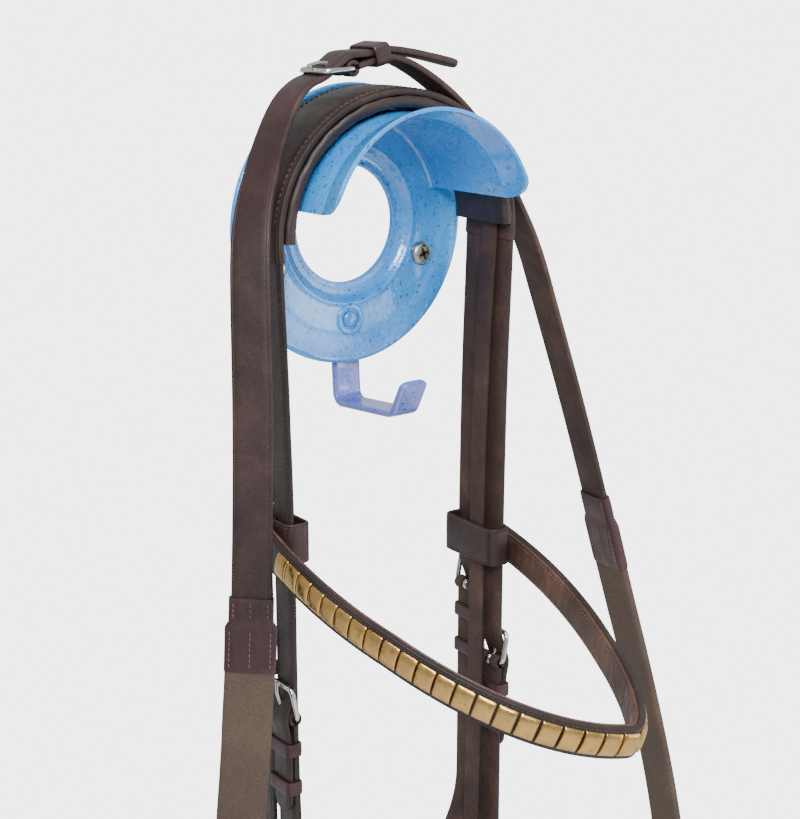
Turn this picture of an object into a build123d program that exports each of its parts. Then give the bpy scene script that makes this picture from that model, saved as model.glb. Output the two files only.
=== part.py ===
from build123d import *
import math
import os

os.makedirs("parts", exist_ok=True)

# Snaffle bridle hung on a pressed-steel bridle bracket. Millimetres, +Z up, front is -Y.
# Origin: midpoint of the two wall screws, on the wall plane Y = 0.

# ---- bracket ----
HUB_Z = 18.5            # centre of the plate's big hole
PLATE_R = 70.0
HOLE_R = 29.4
PLATE_T = 2.5
ARCH_R = 58.1           # outer radius of the arch
ARCH_T = 2.5
ARCH_CREASE_Y = -62.7
ARCH_TIP_Y = -76.5
ARCH_FLARE = 3.9
ARM_Z = 33.3            # height where both arms of the arch stop
SCREW_X = 45.0
SCREW_SHANK_R = 2.4
SCREW_HOLE_R = 3.7
SCREW_HEAD_R = 6.0
RIVET_Z = -29.5
HOOK_W = 16.0
HOOK_T = 3.2

# ---- headstall ----
YAW = -3.0              # the headstall hangs turned by this about Z
FRONT = -32.0           # distance of its middle from the wall
CROWN_W = 38.0
PAD_R0, PAD_R1, PAD_GROOVE = 59.7, 65.2, 62.8
CROWN_R, CROWN_T = 67.4, 3.6
SLIP_R, SLIP_T, SLIP_W, SLIP_Y = 64.2, 2.4, 12.0, -4.2
STRAP_W, STRAP_T = 16.0, 2.6
REAR_Y, CHEEK_Y = 10.6, -10.6     # rows of the throatlash and cheek straps
SIDE_X = 63.5
THROAT_Z, CHEEK_Z = -180.0, -216.0    # heel bars of the side buckles
THROAT_TURN_Z = -290.0

# ---- bit ----
BIT_X, BIT_Z = 61.9, -440.0
RING_R, WIRE_R = 35.0, 4.0
BUTT_R, BUTT_HOLE_R, BUTT_LEN = 8.2, 5.0, 13.0
DROOP = 8.0             # each half of the mouthpiece hangs this many degrees
LINK_R, LINK_WIRE_R = 6.8, 2.3

# ---- buckles ----
BAR_R = 1.4
FRAME_LEN = 17.0

# ---- browband and noseband ----
BROW_Z, BROW_DROP = -150.0, 16.8      # height at the right loop, slope in degrees
BROW_RISE = 25.0        # the left loop sits this much higher on its straps
BROW_W, BROW_T, LINING_T = 17.0, 3.2, 2.0
CLINCHER_PITCH, CLINCHER_L, CLINCHER_W = 9.6, 8.2, 11.0
NOSE_Z, NOSE_TILT, NOSE_W, NOSE_T = -375.0, 8.0, 28.0, 5.0
CHIN_Y = 20.0

# ---- reins ----
REIN_W, REIN_T = 19.0, 3.2
GRIP_W, GRIP_T = 24.0, 6.0
SLEEVE_T = 7.4

COS_YAW = math.cos(math.radians(YAW))
SIN_YAW = math.sin(math.radians(YAW))


def hung(shape):
    """Place a shape built in the headstall's own frame."""
    return Location((0, FRONT, 0), (0, 0, YAW)) * shape


def hung_point(x, y, z):
    return (x * COS_YAW - y * SIN_YAW, FRONT + x * SIN_YAW + y * COS_YAW, z)


def save(shape, node):
    export_step(shape, "parts/" + node + ".step")


def group(shapes):
    return Compound(children=list(shapes))


def offset_line(points, d):
    """Mitred offset of an open 2D line to its left."""
    out = []
    for i, (x, y) in enumerate(points):
        dirs = []
        if i > 0:
            dirs.append((x - points[i - 1][0], y - points[i - 1][1]))
        if i < len(points) - 1:
            dirs.append((points[i + 1][0] - x, points[i + 1][1] - y))
        normals = []
        for dx, dy in dirs:
            n = math.hypot(dx, dy)
            normals.append((-dy / n, dx / n))
        nx = sum(a[0] for a in normals) / len(normals)
        ny = sum(a[1] for a in normals) / len(normals)
        scale = nx * nx + ny * ny
        out.append((x + nx * d / scale, y + ny * d / scale))
    return out


def strip(points, d0, d1, width, plane=Plane.XZ):
    """Flat strap: an open line thickened from d0 to d1 and given a width."""
    clean = [points[0]]
    for p in points[1:]:
        if math.dist(p, clean[-1]) > 0.05:
            clean.append(p)
    outline = offset_line(clean, d0) + offset_line(clean, d1)[::-1]
    face = make_face(Polyline(*outline, close=True))
    return extrude(plane * face, amount=width / 2, both=True)


def strap(points, thickness, width, plane=Plane.XZ):
    return strip(points, -thickness / 2, thickness / 2, width, plane)


def frames(stations):
    """Section frames (centre, across, face) along (point, width direction) stations."""
    out = []
    for i, (p, w) in enumerate(stations):
        a = Vector(*stations[max(i - 1, 0)][0])
        b = Vector(*stations[min(i + 1, len(stations) - 1)][0])
        along = (b - a).normalized()
        across = Vector(*w)
        across = (across - along * across.dot(along)).normalized()
        out.append((Vector(*p), across, along.cross(across).normalized()))
    return out


def twisted(section_frames, width, thickness):
    """Ruled strap through section frames."""
    sections = []
    for c, across, face in section_frames:
        corners = []
        for su, sv in ((-1, -1), (1, -1), (1, 1), (-1, 1)):
            corners.append(c + across * (su * width / 2) + face * (sv * thickness / 2))
        sections.append(Wire.make_polygon(corners, close=True))
    return Solid.make_loft(sections, ruled=True)


def arc(cx, cy, r, a0, a1, steps):
    pts = []
    for i in range(steps + 1):
        a = math.radians(a0 + (a1 - a0) * i / steps)
        pts.append((cx + r * math.cos(a), cy + r * math.sin(a)))
    return pts


def bezier(p0, p1, p2, p3, steps):
    pts = []
    for i in range(steps + 1):
        t = i / steps
        s = 1 - t
        k = (s ** 3, 3 * s * s * t, 3 * s * t * t, t ** 3)
        pts.append(tuple(sum(k[j] * p[c] for j, p in enumerate((p0, p1, p2, p3))) for c in (0, 1)))
    return pts


def mirrored(points):
    return [(-x, z) for x, z in points]


# ------------------------------------------------------------------ bracket
def about_hub(profile, angle=360):
    face = make_face(Polyline(*profile, close=True))
    return Pos(0, 0, HUB_Z) * revolve(face, Axis.Y, angle)


def back_plate():
    profile = [
        (HOLE_R, -PLATE_T), (HOLE_R, 0.0), (35.6, 0.0), (39.2, -3.5), (57.5, -3.5), (62.0, -5.0),
        (68.6, -5.6), (PLATE_R, -5.0), (PLATE_R, -6.6), (68.8, -7.9), (62.0, -7.5), (57.0, -6.0),
        (40.4, -6.0), (36.6, -PLATE_T),
    ]
    plate = about_hub(profile)
    for x in (-SCREW_X, SCREW_X):
        plate -= Pos(x, 0, 0) * Rot(90, 0, 0) * Cylinder(SCREW_HOLE_R, 40)
    return plate - Pos(0, 0, RIVET_Z) * Rot(90, 0, 0) * Cylinder(3.2, 40)


def bridle_arch():
    inner = ARCH_R - ARCH_T
    profile = [
        (inner - 2.6, -6.0), (57.0, -6.0), (ARCH_R + 0.6, -6.55), (ARCH_R, -8.8), (ARCH_R, ARCH_CREASE_Y),
        (ARCH_R + ARCH_FLARE, ARCH_TIP_Y + 0.8), (ARCH_R + ARCH_FLARE - 0.9, ARCH_TIP_Y),
        (inner + ARCH_FLARE, ARCH_TIP_Y + 0.6), (inner, ARCH_CREASE_Y), (inner, -10.4),
        (inner - 0.8, -7.8),
    ]
    arch = about_hub(profile)
    arch -= Pos(0, -40, ARM_Z - 100) * Box(200, 100, 200)
    for s in (-1, 1):
        corner = Pos(s * 60, ARCH_TIP_Y + 6.6, ARM_Z + 6.6) * Box(30, 13.4, 13.4)
        corner -= Pos(s * 60, ARCH_TIP_Y + 13.3, ARM_Z + 13.3) * Rot(0, 90, 0) * Cylinder(13.3, 40)
        arch -= corner
    return arch


def coat_hook():
    line = [(-1.8, -22.2), (-1.8, -54.0)]
    line += [(-2.2, -60.0), (-2.6, -66.6)]
    line += arc(-8.2, -66.6, 5.6, 0, -93, 8)
    line += arc(-46.2, -64.4, 5.6, -93, -152, 6)
    line += [(-58.6, -52.8)]
    bar = strap(line, HOOK_T, HOOK_W, Plane.YZ)
    bar -= Pos(0, -1.9, RIVET_Z) * Rot(90, 0, 0) * Cylinder(3.2, 8)
    for s in (-1, 1):
        corner = Pos(s * 6.9, -58.0, -53.2) * Box(3.0, 16, 4.4)
        corner -= Pos(s * 5.4, -58.0, -55.4) * Rot(90, 0, 0) * Cylinder(2.6, 40)
        bar -= corner
    return bar


def hook_rivet():
    rivet = Pos(0, -3.2, RIVET_Z) * Rot(90, 0, 0) * Cylinder(3.0, 6.3)
    head = Pos(0, -7.1, RIVET_Z) * Rot(90, 0, 0) * Cylinder(4.3, 1.8)
    ring = Pos(0, -6.5, RIVET_Z) * Rot(90, 0, 0) * (Cylinder(8.2, 0.9) - Cylinder(4.6, 2))
    dome = fillet(head.edges().group_by(Axis.Y)[0], 1.2)
    return group([rivet + dome, ring])


def wall_screws():
    screws = []
    for x in (-SCREW_X, SCREW_X):
        head = Rot(90, 0, 0) * Cylinder(SCREW_HEAD_R, 3.4)
        head = fillet(head.edges().group_by(Axis.Y)[0], 1.9)
        for a in (20, 110):
            head -= Rot(0, a, 0) * Pos(0, -1.7, 0) * Box(5.6, 2.6, 1.2)
        for a in (65, 155):
            head -= Rot(0, a, 0) * Pos(0, -1.7, 0) * Box(4.4, 1.0, 0.6)
        shank = Pos(0, 12.4, 0) * Rot(90, 0, 0) * Cylinder(SCREW_SHANK_R, 21.4)
        screws.append(Pos(x, -7.9, 0) * (head + shank))
    return group(screws)


# ------------------------------------------------------------------ buckle sets
# Local frame of a buckle: +Z along the strap towards the frame's free bar,
# +X outwards, Y across the strap, origin in the middle of the heel bar.
def raise_angle(t):
    return math.degrees(math.asin((t / 2 + 0.3 + BAR_R) / FRAME_LEN)) + 0.3


def buckle_frame(width, t):
    half = width / 2 + 0.5
    side = Pos(0, 0, FRAME_LEN / 2) * Box(2.6, 2.4, FRAME_LEN)
    far = Pos(0, 0, FRAME_LEN) * Box(2.6, 2 * half + 4.8, 2.6)
    far = fillet(far.edges().filter_by(Axis.X), 1.2)
    frame = far
    for s in (-1, 1):
        frame += Pos(0, s * (half + 1.2), 0) * side
    frame += Rot(90, 0, 0) * Cylinder(BAR_R, 2 * half + 4.8)
    return Rot(0, raise_angle(t), 0) * frame


def buckle_tongue(t):
    top = FRAME_LEN * math.sin(math.radians(raise_angle(t))) + 1.35 + 0.35
    eye = Rot(90, 0, 0) * (Cylinder(3.1, 2.4) - Cylinder(BAR_R + 0.3, 4))
    line = [(2.0, 1.9), (top + 1.0, 12.8), (top + 1.0, 18.9)]
    bar = strap(line, 2.0, 2.4)
    bar -= Rot(90, 0, 0) * Cylinder(BAR_R + 0.3, 4)
    return eye + bar


def leather_eye(width, t):
    """Fold of leather round the heel bar, open in the middle for the tongue."""
    eye = Rot(90, 0, 0) * (Cylinder(BAR_R + 0.3 + t * 0.75, width))
    eye += Pos(0, 0, -4) * Box(t, width, 8)
    eye -= Rot(90, 0, 0) * Cylinder(BAR_R + 0.3, width + 2)
    return eye - Pos(0, 0, 1.0) * Box(20, 4.0, 11.0)


def billet_line(t, tail):
    """(outward, along) line of the strap that is threaded through a buckle."""
    lift = BAR_R + 0.3 + t * 0.75 + 0.35 + t / 2
    rest = t + 0.35
    return [(0, 24), (0, 14.8), (lift, 1.6), (lift, -1.6), (rest, -12), (rest, -tail)]


def keeper(width, t, along):
    low, high = -t / 2 - 0.35, 1.5 * t + 0.7
    mid, size = (low + high) / 2, high - low
    wide = width + 0.8
    return Pos(mid, 0, along) * (Box(size + 2.4, wide + 2.4, 7.0) - Box(size, wide, 9.0))


def slot_cut(t):
    return Pos(5.0, 0, 5.9) * Box(9.0, 4.0, 11.6)


class Buckle:
    """Where one buckle set sits, in the headstall's own frame."""

    def __init__(self, location):
        self.location = location

    def put(self, shape):
        return self.location * shape


def side_buckle(side, y, z):
    turn = 0 if side > 0 else 180
    return Buckle(Location((side * SIDE_X, y, z), (0, 0, turn)))


THROAT_BUCKLES = {s: side_buckle(s, REAR_Y, THROAT_Z) for s in (-1, 1)}
CHEEK_BUCKLES = {s: side_buckle(s, CHEEK_Y, CHEEK_Z) for s in (-1, 1)}
NOSE_PLACE = Location((0, 0, NOSE_Z), (NOSE_TILT, 0, 0))
CHIN_BUCKLE = Buckle(NOSE_PLACE * Plane(origin=(-18, CHIN_Y, 0), x_dir=(0, 1, 0), z_dir=(1, 0, 0)).location)
REIN_POLAR, REIN_ANGLE = 81.0, 105.0
REIN_HEEL = (
    REIN_POLAR * math.cos(math.radians(REIN_ANGLE)),
    HUB_Z + REIN_POLAR * math.sin(math.radians(REIN_ANGLE)),
)
REIN_BUCKLE = Buckle(Location((REIN_HEEL[0], 0, REIN_HEEL[1]), (0, -REIN_ANGLE, 0)))


# ------------------------------------------------------------------ headstall
def crown_arc(r, steps=36):
    return arc(0, HUB_Z, r, 0, 180, steps)


def branch(y, z, side, tail):
    line = [(CROWN_R, HUB_Z + 2), (CROWN_R - 0.6, HUB_Z - 20), (64.6, -60), (63.7, -130)]
    line += [(SIDE_X + n, z + u) for n, u in billet_line(STRAP_T, tail)]
    if side < 0:
        line = mirrored(line)
    return Pos(0, y, 0) * strap(line, STRAP_T, STRAP_W)


def headpiece():
    crown = strap(crown_arc(CROWN_R), CROWN_T, CROWN_W)
    piece = crown
    for s in (-1, 1):
        for y, z, buckle, tail in (
            (REAR_Y, THROAT_Z, THROAT_BUCKLES[s], 48),
            (CHEEK_Y, CHEEK_Z, CHEEK_BUCKLES[s], 50),
        ):
            piece += branch(y, z, s, tail) - buckle.put(slot_cut(STRAP_T))
    return hung(piece)


def crown_pad():
    pad = strip(crown_arc(PAD_R0), 0, -(PAD_R1 - PAD_R0), CROWN_W + 2)
    groove = Pos(0, SLIP_Y, 0) * strip(crown_arc(PAD_GROOVE), 0, -4, SLIP_W + 1.4)
    return hung(pad - groove)


def noseband_headstrap():
    down = [(SLIP_R, HUB_Z), (SLIP_R - 0.3, HUB_Z - 10), (60.5, -40), (58.0, -120)]
    down += [(58.0, -230), (56.2, -300), (56.2, -389)]
    line = down[::-1] + crown_arc(SLIP_R)[1:-1] + mirrored(down)
    return hung(Pos(0, SLIP_Y, 0) * strap(line, SLIP_T, SLIP_W))


def throat_strap():
    down = [(SIDE_X, THROAT_Z - 3), (SIDE_X, THROAT_TURN_Z)]
    line = down + arc(0, THROAT_TURN_Z, SIDE_X, 0, -180, 30)[1:-1] + mirrored(down)[::-1]
    loop = Pos(0, REAR_Y, 0) * strap(line, STRAP_T, STRAP_W)
    for s in (-1, 1):
        b = THROAT_BUCKLES[s]
        loop -= b.put(Rot(90, 0, 0) * Cylinder(BAR_R + 0.3, STRAP_W + 2))
        loop -= b.put(Pos(0, 0, 1) * Box(20, 4.0, 11.0))
        loop += b.put(leather_eye(STRAP_W, STRAP_T))
    return hung(loop)


def ring_loop(side, way):
    """Line of a strap doubled round the bit ring's wire; way +1 comes from above."""
    cx, cz = BIT_X, BIT_Z + way * (RING_R + 0.6)
    r = WIRE_R + (1.7 if way > 0 else 2.1) + STRAP_T / 2
    start = 52 * way
    turn = arc(cx, cz, r, start, start - way * (360 - 76), 22)
    double = STRAP_T / 2 + 0.25
    line = [(cx + double, cz + way * 17.5)] + turn + [(cx - double, cz + way * 17.5)]
    line.append((cx - double, cz + way * 78))
    return line, double


def cheekpiece(side):
    line, double = ring_loop(side, 1)
    line = [(SIDE_X, CHEEK_Z - 3), (SIDE_X, CHEEK_Z - 100), (BIT_X + double, CHEEK_Z - 112)] + line
    if side < 0:
        line = mirrored(line)
    piece = Pos(0, CHEEK_Y, 0) * strap(line, STRAP_T, STRAP_W)
    b = CHEEK_BUCKLES[side]
    piece -= b.put(Rot(90, 0, 0) * Cylinder(BAR_R + 0.3, STRAP_W + 2))
    piece -= b.put(Pos(0, 0, 1) * Box(20, 4.0, 11.0))
    return hung(piece + b.put(leather_eye(STRAP_W, STRAP_T)))


def side_buckles(table):
    return group([hung(b.put(buckle_frame(STRAP_W, STRAP_T))) for b in table.values()])


def side_tongue(b):
    return hung(b.put(buckle_tongue(STRAP_T)))


def strap_keepers():
    rings = []
    for table in (THROAT_BUCKLES, CHEEK_BUCKLES):
        for b in table.values():
            for along in (-15.5, -36):
                rings.append(hung(b.put(keeper(STRAP_W, STRAP_T, along))))
    rings.append(hung(CHIN_BUCKLE.put(keeper(STRAP_W, STRAP_T, -15.5))))
    return group(rings)


def doubled_keepers():
    """Keepers round the doubled strap ends above and below the bit rings."""
    rings = []
    thick = 2 * STRAP_T + 1.0
    for side in (-1, 1):
        for up, width in ((66, STRAP_W), (104, STRAP_W), (-66, REIN_W), (-97, REIN_W)):
            ring = Box(thick + 2.4, width + 3.2, 6.5) - Box(thick, width + 0.8, 9)
            rings.append(hung(Pos(side * BIT_X, CHEEK_Y, BIT_Z + up) * ring))
    return group(rings)


def hook_studs():
    studs = []
    face = BIT_X - STRAP_T - 0.25
    for side in (-1, 1):
        for up in (86, -86):
            stud = Rot(0, 90, 0) * Cylinder(3.6, 1.2)
            studs.append(hung(Pos(side * (face - 0.65), CHEEK_Y, BIT_Z + up) * stud))
    return group(studs)


# ------------------------------------------------------------------ noseband
def nose_line():
    half = bezier((52.2, 8), (52.2, -90), (48, -165), (0, -165), 22)
    return half + mirrored(half)[::-1][1:]


def nose_strap():
    return hung(NOSE_PLACE * strap(nose_line(), NOSE_T, NOSE_W, Plane.XY))


def chin_strap_right():
    line = [(52.2, 8.3), (51.6, 13.0), (49, 17.4), (44, CHIN_Y)]
    line += [(-18 + u, CHIN_Y + n) for n, u in billet_line(STRAP_T, 24)]
    piece = NOSE_PLACE * strap(line, STRAP_T, STRAP_W, Plane.XY)
    return hung(piece - CHIN_BUCKLE.put(slot_cut(STRAP_T)))


def chin_strap_left():
    line = [(-52.2, 8.3), (-51.6, 13.0), (-49, 17.4), (-44, CHIN_Y), (-22, CHIN_Y)]
    piece = NOSE_PLACE * strap(line, STRAP_T, STRAP_W, Plane.XY)
    return hung(piece + CHIN_BUCKLE.put(leather_eye(STRAP_W, STRAP_T)))


# ------------------------------------------------------------------ browband
def brow_rise(x):
    return BROW_RISE * (61.1 - max(min(x, 61.1), -61.1)) / 122.2


def brow_up():
    a = math.radians(BROW_DROP)
    return (SIN_YAW * math.sin(a), -COS_YAW * math.sin(a), math.cos(a))


def brow_line():
    right = bezier((70.4, 0), (84, -86), (34, -172), (18, -172), 24)
    left = bezier((18, -172), (-48, -172), (-78, -84), (-70.4, 0), 30)
    return [(70.4, 9)] + right + left[1:] + [(-70.4, 9)]


def brow_points():
    """Middle line of the browband as it hangs, as vectors."""
    a = math.radians(BROW_DROP)
    out = []
    for x, y in brow_line():
        out.append(hung_point(x, y * math.cos(a) - 3, BROW_Z + brow_rise(x) + y * math.sin(a)))
    return out


def brow_layer(offset, thickness, width):
    """Band parallel to the middle line, its centre offset outwards."""
    base = frames([(p, brow_up()) for p in brow_points()])
    moved = [(c - face * offset, across, face) for c, across, face in base]
    return twisted(moved, width, thickness)


def browband_strap():
    return brow_layer(BROW_T / 2, BROW_T, BROW_W)


def browband_lining():
    return brow_layer(-(LINING_T + 0.05) / 2, LINING_T - 0.05, BROW_W - 0.6)


def browband_clinchers():
    """Row of square brass clinchers, one solid each, along the outer face."""
    base = frames([(p, brow_up()) for p in brow_points()])
    pts = [c for c, _, _ in base]
    reach = [0.0]
    for p, q in zip(pts, pts[1:]):
        reach.append(reach[-1] + (q - p).length)
    count = int((reach[-1] - 54) / CLINCHER_PITCH)
    start = (reach[-1] - (count - 1) * CLINCHER_PITCH) / 2
    tile = Pos(0, 0.9, 0) * Box(CLINCHER_L, 1.6, CLINCHER_W)
    tile = fillet(tile.edges().group_by(Axis.Y)[-1], 0.7)
    tiles = []
    for i in range(count):
        d = start + i * CLINCHER_PITCH
        k = max(j for j in range(len(pts) - 1) if reach[j] <= d)
        f = (d - reach[k]) / (reach[k + 1] - reach[k])
        c = pts[k] * (1 - f) + pts[k + 1] * f
        across = (base[k][1] * (1 - f) + base[k + 1][1] * f).normalized()
        face = (base[k][2] * (1 - f) + base[k + 1][2] * f).normalized()
        c = c - face * (BROW_T + 0.05)
        tiles.append(Plane(origin=c, x_dir=across.cross(face), z_dir=across).location * tile)
    return group(tiles)


def browband_loops():
    rings = []
    for s in (-1, 1):
        ring = Box(13.6, 42.4, 20.0) - Box(9.8, 38.6, 22.0)
        rings.append(hung(Pos(s * 61.1, 0, BROW_Z + brow_rise(s * 61.1)) * ring))
    return group(rings)


# ------------------------------------------------------------------ bit
def bit_ring(side):
    return hung(Pos(side * BIT_X, CHEEK_Y, BIT_Z) * Rot(0, 90, 0) * Torus(RING_R, WIRE_R))


def mouthpiece(side):
    """Half of the mouthpiece. Local +X points to the middle, Y is the ring's wire."""
    reach = BIT_X / math.cos(math.radians(DROOP))
    near, far = 4.0, reach - 9.6
    bar = Pos((near + far) / 2, 0, 0) * Rot(0, 90, 0) * Cone(7.4, 4.6, far - near)
    butt = Rot(90, 0, 0) * Cylinder(BUTT_R, BUTT_LEN)
    butt = fillet(butt.edges(), 1.5)
    neck = Pos(far, 0, 0) * Sphere(4.7)
    half = bar + butt + neck
    half -= Pos(0, 0, 0.35) * Rot(90, 0, 0) * Cylinder(BUTT_HOLE_R, BUTT_LEN + 4)
    link = Torus(LINK_R, LINK_WIRE_R)
    if side > 0:
        link = Rot(90, 0, 0) * link
    link_x = reach - LINK_R / 2
    half -= Pos(link_x, 0, 0) * Sphere(LINK_R - LINK_WIRE_R + 0.2)
    half += Pos(link_x, 0, 0) * link
    half = Rot(0, DROOP, 0) * half
    if side > 0:
        half = Rot(0, 0, 180) * half
    ring_at = Location((side * BIT_X, CHEEK_Y, BIT_Z), (-45, 0, 0)) * Location((0, 0, -RING_R))
    return hung(ring_at * half)


# ------------------------------------------------------------------ reins
def rein_local(line):
    c = math.cos(math.radians(REIN_ANGLE))
    s = math.sin(math.radians(REIN_ANGLE))
    hx, hz = REIN_HEEL
    return [(hx + n * c - u * s, hz + n * s + u * c) for n, u in line]


RIGHT_FALL = [(92, 6), (104, -27), (114.5, -56), (124.5, -84), (134, -112), (143, -140)]
RIGHT_GRIP = [
    (157, -184, 0), (166.5, -213, 0), (176.5, -243, 0), (191, -290, 0), (204, -340, -1),
    (213, -390, -2), (219, -440, -3), (222, -490, -4), (222, -540, -5), (219, -590, -6),
    (212, -640, -7), (201, -685, -8), (184, -722, -9), (160, -743, -10), (133, -742, -10),
    (111, -721, -10), (97, -688, -10), (87, -650, -10), (81.5, -628, -10), (77.4, -613, -10),
]
LEFT_FALL = [
    ((-55.4, -31.6, 81.8), 4), ((-66.9, -34, 60.3), 14), ((-76.4, -37.0, 35.9), 27),
    ((-81.4, -41, 18.7), 36), ((-83.6, -44.0, -4.6), 42), ((-86.0, -48.0, -51.2), 46),
    ((-89.1, -51.1, -98.8), 48), ((-92.8, -53.8, -143.8), 50),
]
LEFT_GRIP = [
    ((-95.0, -54.4, -181.0), 52), ((-96.4, -53.4, -203.0), 52), ((-96.8, -52.2, -221.0), 52),
    ((-98.8, -48.6, -262.4), 52), ((-101.5, -45, -310), 50), ((-104, -41, -360), 44),
    ((-109, -39, -410), 36), ((-115, -37, -460), 27), ((-122, -36, -510), 18),
    ((-130, -35.4, -560), 10), ((-138, -34.9, -610), 4), ((-145, -34.6, -660), 0),
    ((-150, -34.3, -705), -3), ((-149, -34.4, -745), -3), ((-138, -34.9, -778), -3),
    ((-117, -36, -798), -3), ((-93, -37.2, -790), -3), ((-77, -38, -762), -3),
    ((-70, -38.4, -725), -3), ((-67.6, -38.6, -690), -3), ((-66.8, -38.7, -655), -3),
    ((-66.6, -38.8, -632), -3),
]


def facing(degrees):
    a = math.radians(degrees)
    return (math.sin(a), -math.cos(a), 0)


def rein_right_top():
    polar = [(83, 81.6), (75, 78.6), (66, 76.0), (57, 74.2), (48, 73.2), (38, 72.9),
             (28, 73.4), (19, 74.9), (12, 77.2)]
    line = rein_local([(0, -3), (0, -21)])
    for angle, r in polar:
        a = math.radians(angle)
        line.append((r * math.cos(a), HUB_Z + r * math.sin(a)))
    line += RIGHT_FALL
    eye = REIN_BUCKLE.put(leather_eye(REIN_W, REIN_T))
    fold = strap(line, REIN_T, REIN_W)
    fold -= REIN_BUCKLE.put(Rot(90, 0, 0) * Cylinder(BAR_R + 0.3, REIN_W + 2))
    fold -= REIN_BUCKLE.put(Pos(0, 0, 1) * Box(20, 4.0, 11.0))
    return hung(fold + eye)


def rein_left_top():
    rest = REIN_T + 0.35
    lift = BAR_R + 0.3 + REIN_T * 0.75 + 0.35 + REIN_T / 2
    near = rein_local([(rest, -23), (rest, -12), (lift, -1.6), (lift, 1.6), (0, 15), (0, 24)])
    line = [(43.5, 96.5), (36, 99.0)] + near
    half = hung(strap(line, REIN_T, REIN_W) - REIN_BUCKLE.put(slot_cut(REIN_T)))
    for s in (-1, 1):
        half -= hung(Pos(45.5, s * 10.5, 96) * Rot(0, 0, -s * 38) * Box(16, 9, 16))
    end = near[-1]
    first = hung_point(end[0], 0, end[1])
    fall = twisted(frames([(first, facing(3))] + left_stations(LEFT_FALL)), REIN_W, REIN_T)
    return half + fall


def right_station(x, z, y):
    return (hung_point(x, y, z), (-SIN_YAW, COS_YAW, 0))


def left_stations(table):
    return [(p, facing(a)) for p, a in table]


def rein_end(side):
    line, double = ring_loop(side, -1)
    if side > 0:
        start = [(77.2, -612), (70.5, -580), (BIT_X + double + 1.2, -556)]
    else:
        start = [(66.5, -632), (65.4, -600), (BIT_X + double + 0.6, -570)]
    line = start + [(BIT_X + double, BIT_Z - 104)] + line
    if side < 0:
        line = mirrored(line)
    return hung(Pos(0, CHEEK_Y, 0) * strap(line, STRAP_T, REIN_W))


def save_grips(name, stations):
    """Rubber grip with a stitched leather sleeve over each of its ends."""
    f = frames(stations)
    sleeves = [twisted(part, GRIP_W + 0.8, SLEEVE_T) for part in (f[:2], f[-3:])]
    save(group(sleeves), "rein_" + name + "_sleeves")
    save(twisted(f[1:-2], GRIP_W, GRIP_T), "rein_" + name + "_grip")


def build():
    save(back_plate(), "back_plate")
    save(bridle_arch(), "bridle_arch")
    save(coat_hook(), "coat_hook")
    save(hook_rivet(), "hook_rivet")
    save(wall_screws(), "wall_screws")

    save(crown_pad(), "crown_pad")
    save(headpiece(), "headpiece")
    save(noseband_headstrap(), "noseband_headstrap")
    save(throat_strap(), "throat_strap")
    save(side_buckles(THROAT_BUCKLES), "throat_buckles")
    save(side_buckles(CHEEK_BUCKLES), "cheek_buckles")
    save(strap_keepers(), "strap_keepers")
    save(doubled_keepers(), "ring_end_keepers")
    save(hook_studs(), "hook_studs")
    for side, name in ((-1, "left"), (1, "right")):
        save(cheekpiece(side), "cheekpiece_" + name)
        save(side_tongue(THROAT_BUCKLES[side]), "throat_tongue_" + name)
        save(side_tongue(CHEEK_BUCKLES[side]), "cheek_tongue_" + name)
        save(bit_ring(side), "bit_ring_" + name)
        save(mouthpiece(side), "mouthpiece_" + name)
        save(rein_end(side), "rein_" + name + "_end")

    save(nose_strap(), "nose_strap")
    save(chin_strap_left(), "chin_strap_left")
    save(chin_strap_right(), "chin_strap_right")
    save(hung(CHIN_BUCKLE.put(buckle_frame(STRAP_W, STRAP_T))), "chin_buckle")
    save(hung(CHIN_BUCKLE.put(buckle_tongue(STRAP_T))), "chin_tongue")

    save(browband_strap(), "browband_strap")
    save(browband_lining(), "browband_lining")
    save(browband_clinchers(), "browband_clinchers")
    save(browband_loops(), "browband_loops")

    save(rein_left_top(), "rein_left_top")
    save(rein_right_top(), "rein_right_top")
    save(hung(REIN_BUCKLE.put(buckle_frame(REIN_W, REIN_T))), "rein_buckle")
    save(hung(REIN_BUCKLE.put(buckle_tongue(REIN_T))), "rein_tongue")
    save(hung(REIN_BUCKLE.put(keeper(REIN_W, REIN_T, -16.5))), "rein_keeper")

    save_grips("right", [right_station(*RIGHT_FALL[-1], 0)] + [right_station(*p) for p in RIGHT_GRIP])
    save_grips("left", left_stations(LEFT_FALL[-1:] + LEFT_GRIP))


build()
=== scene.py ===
import bpy
import math
import numpy as np
from mathutils import Matrix, Vector


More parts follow.
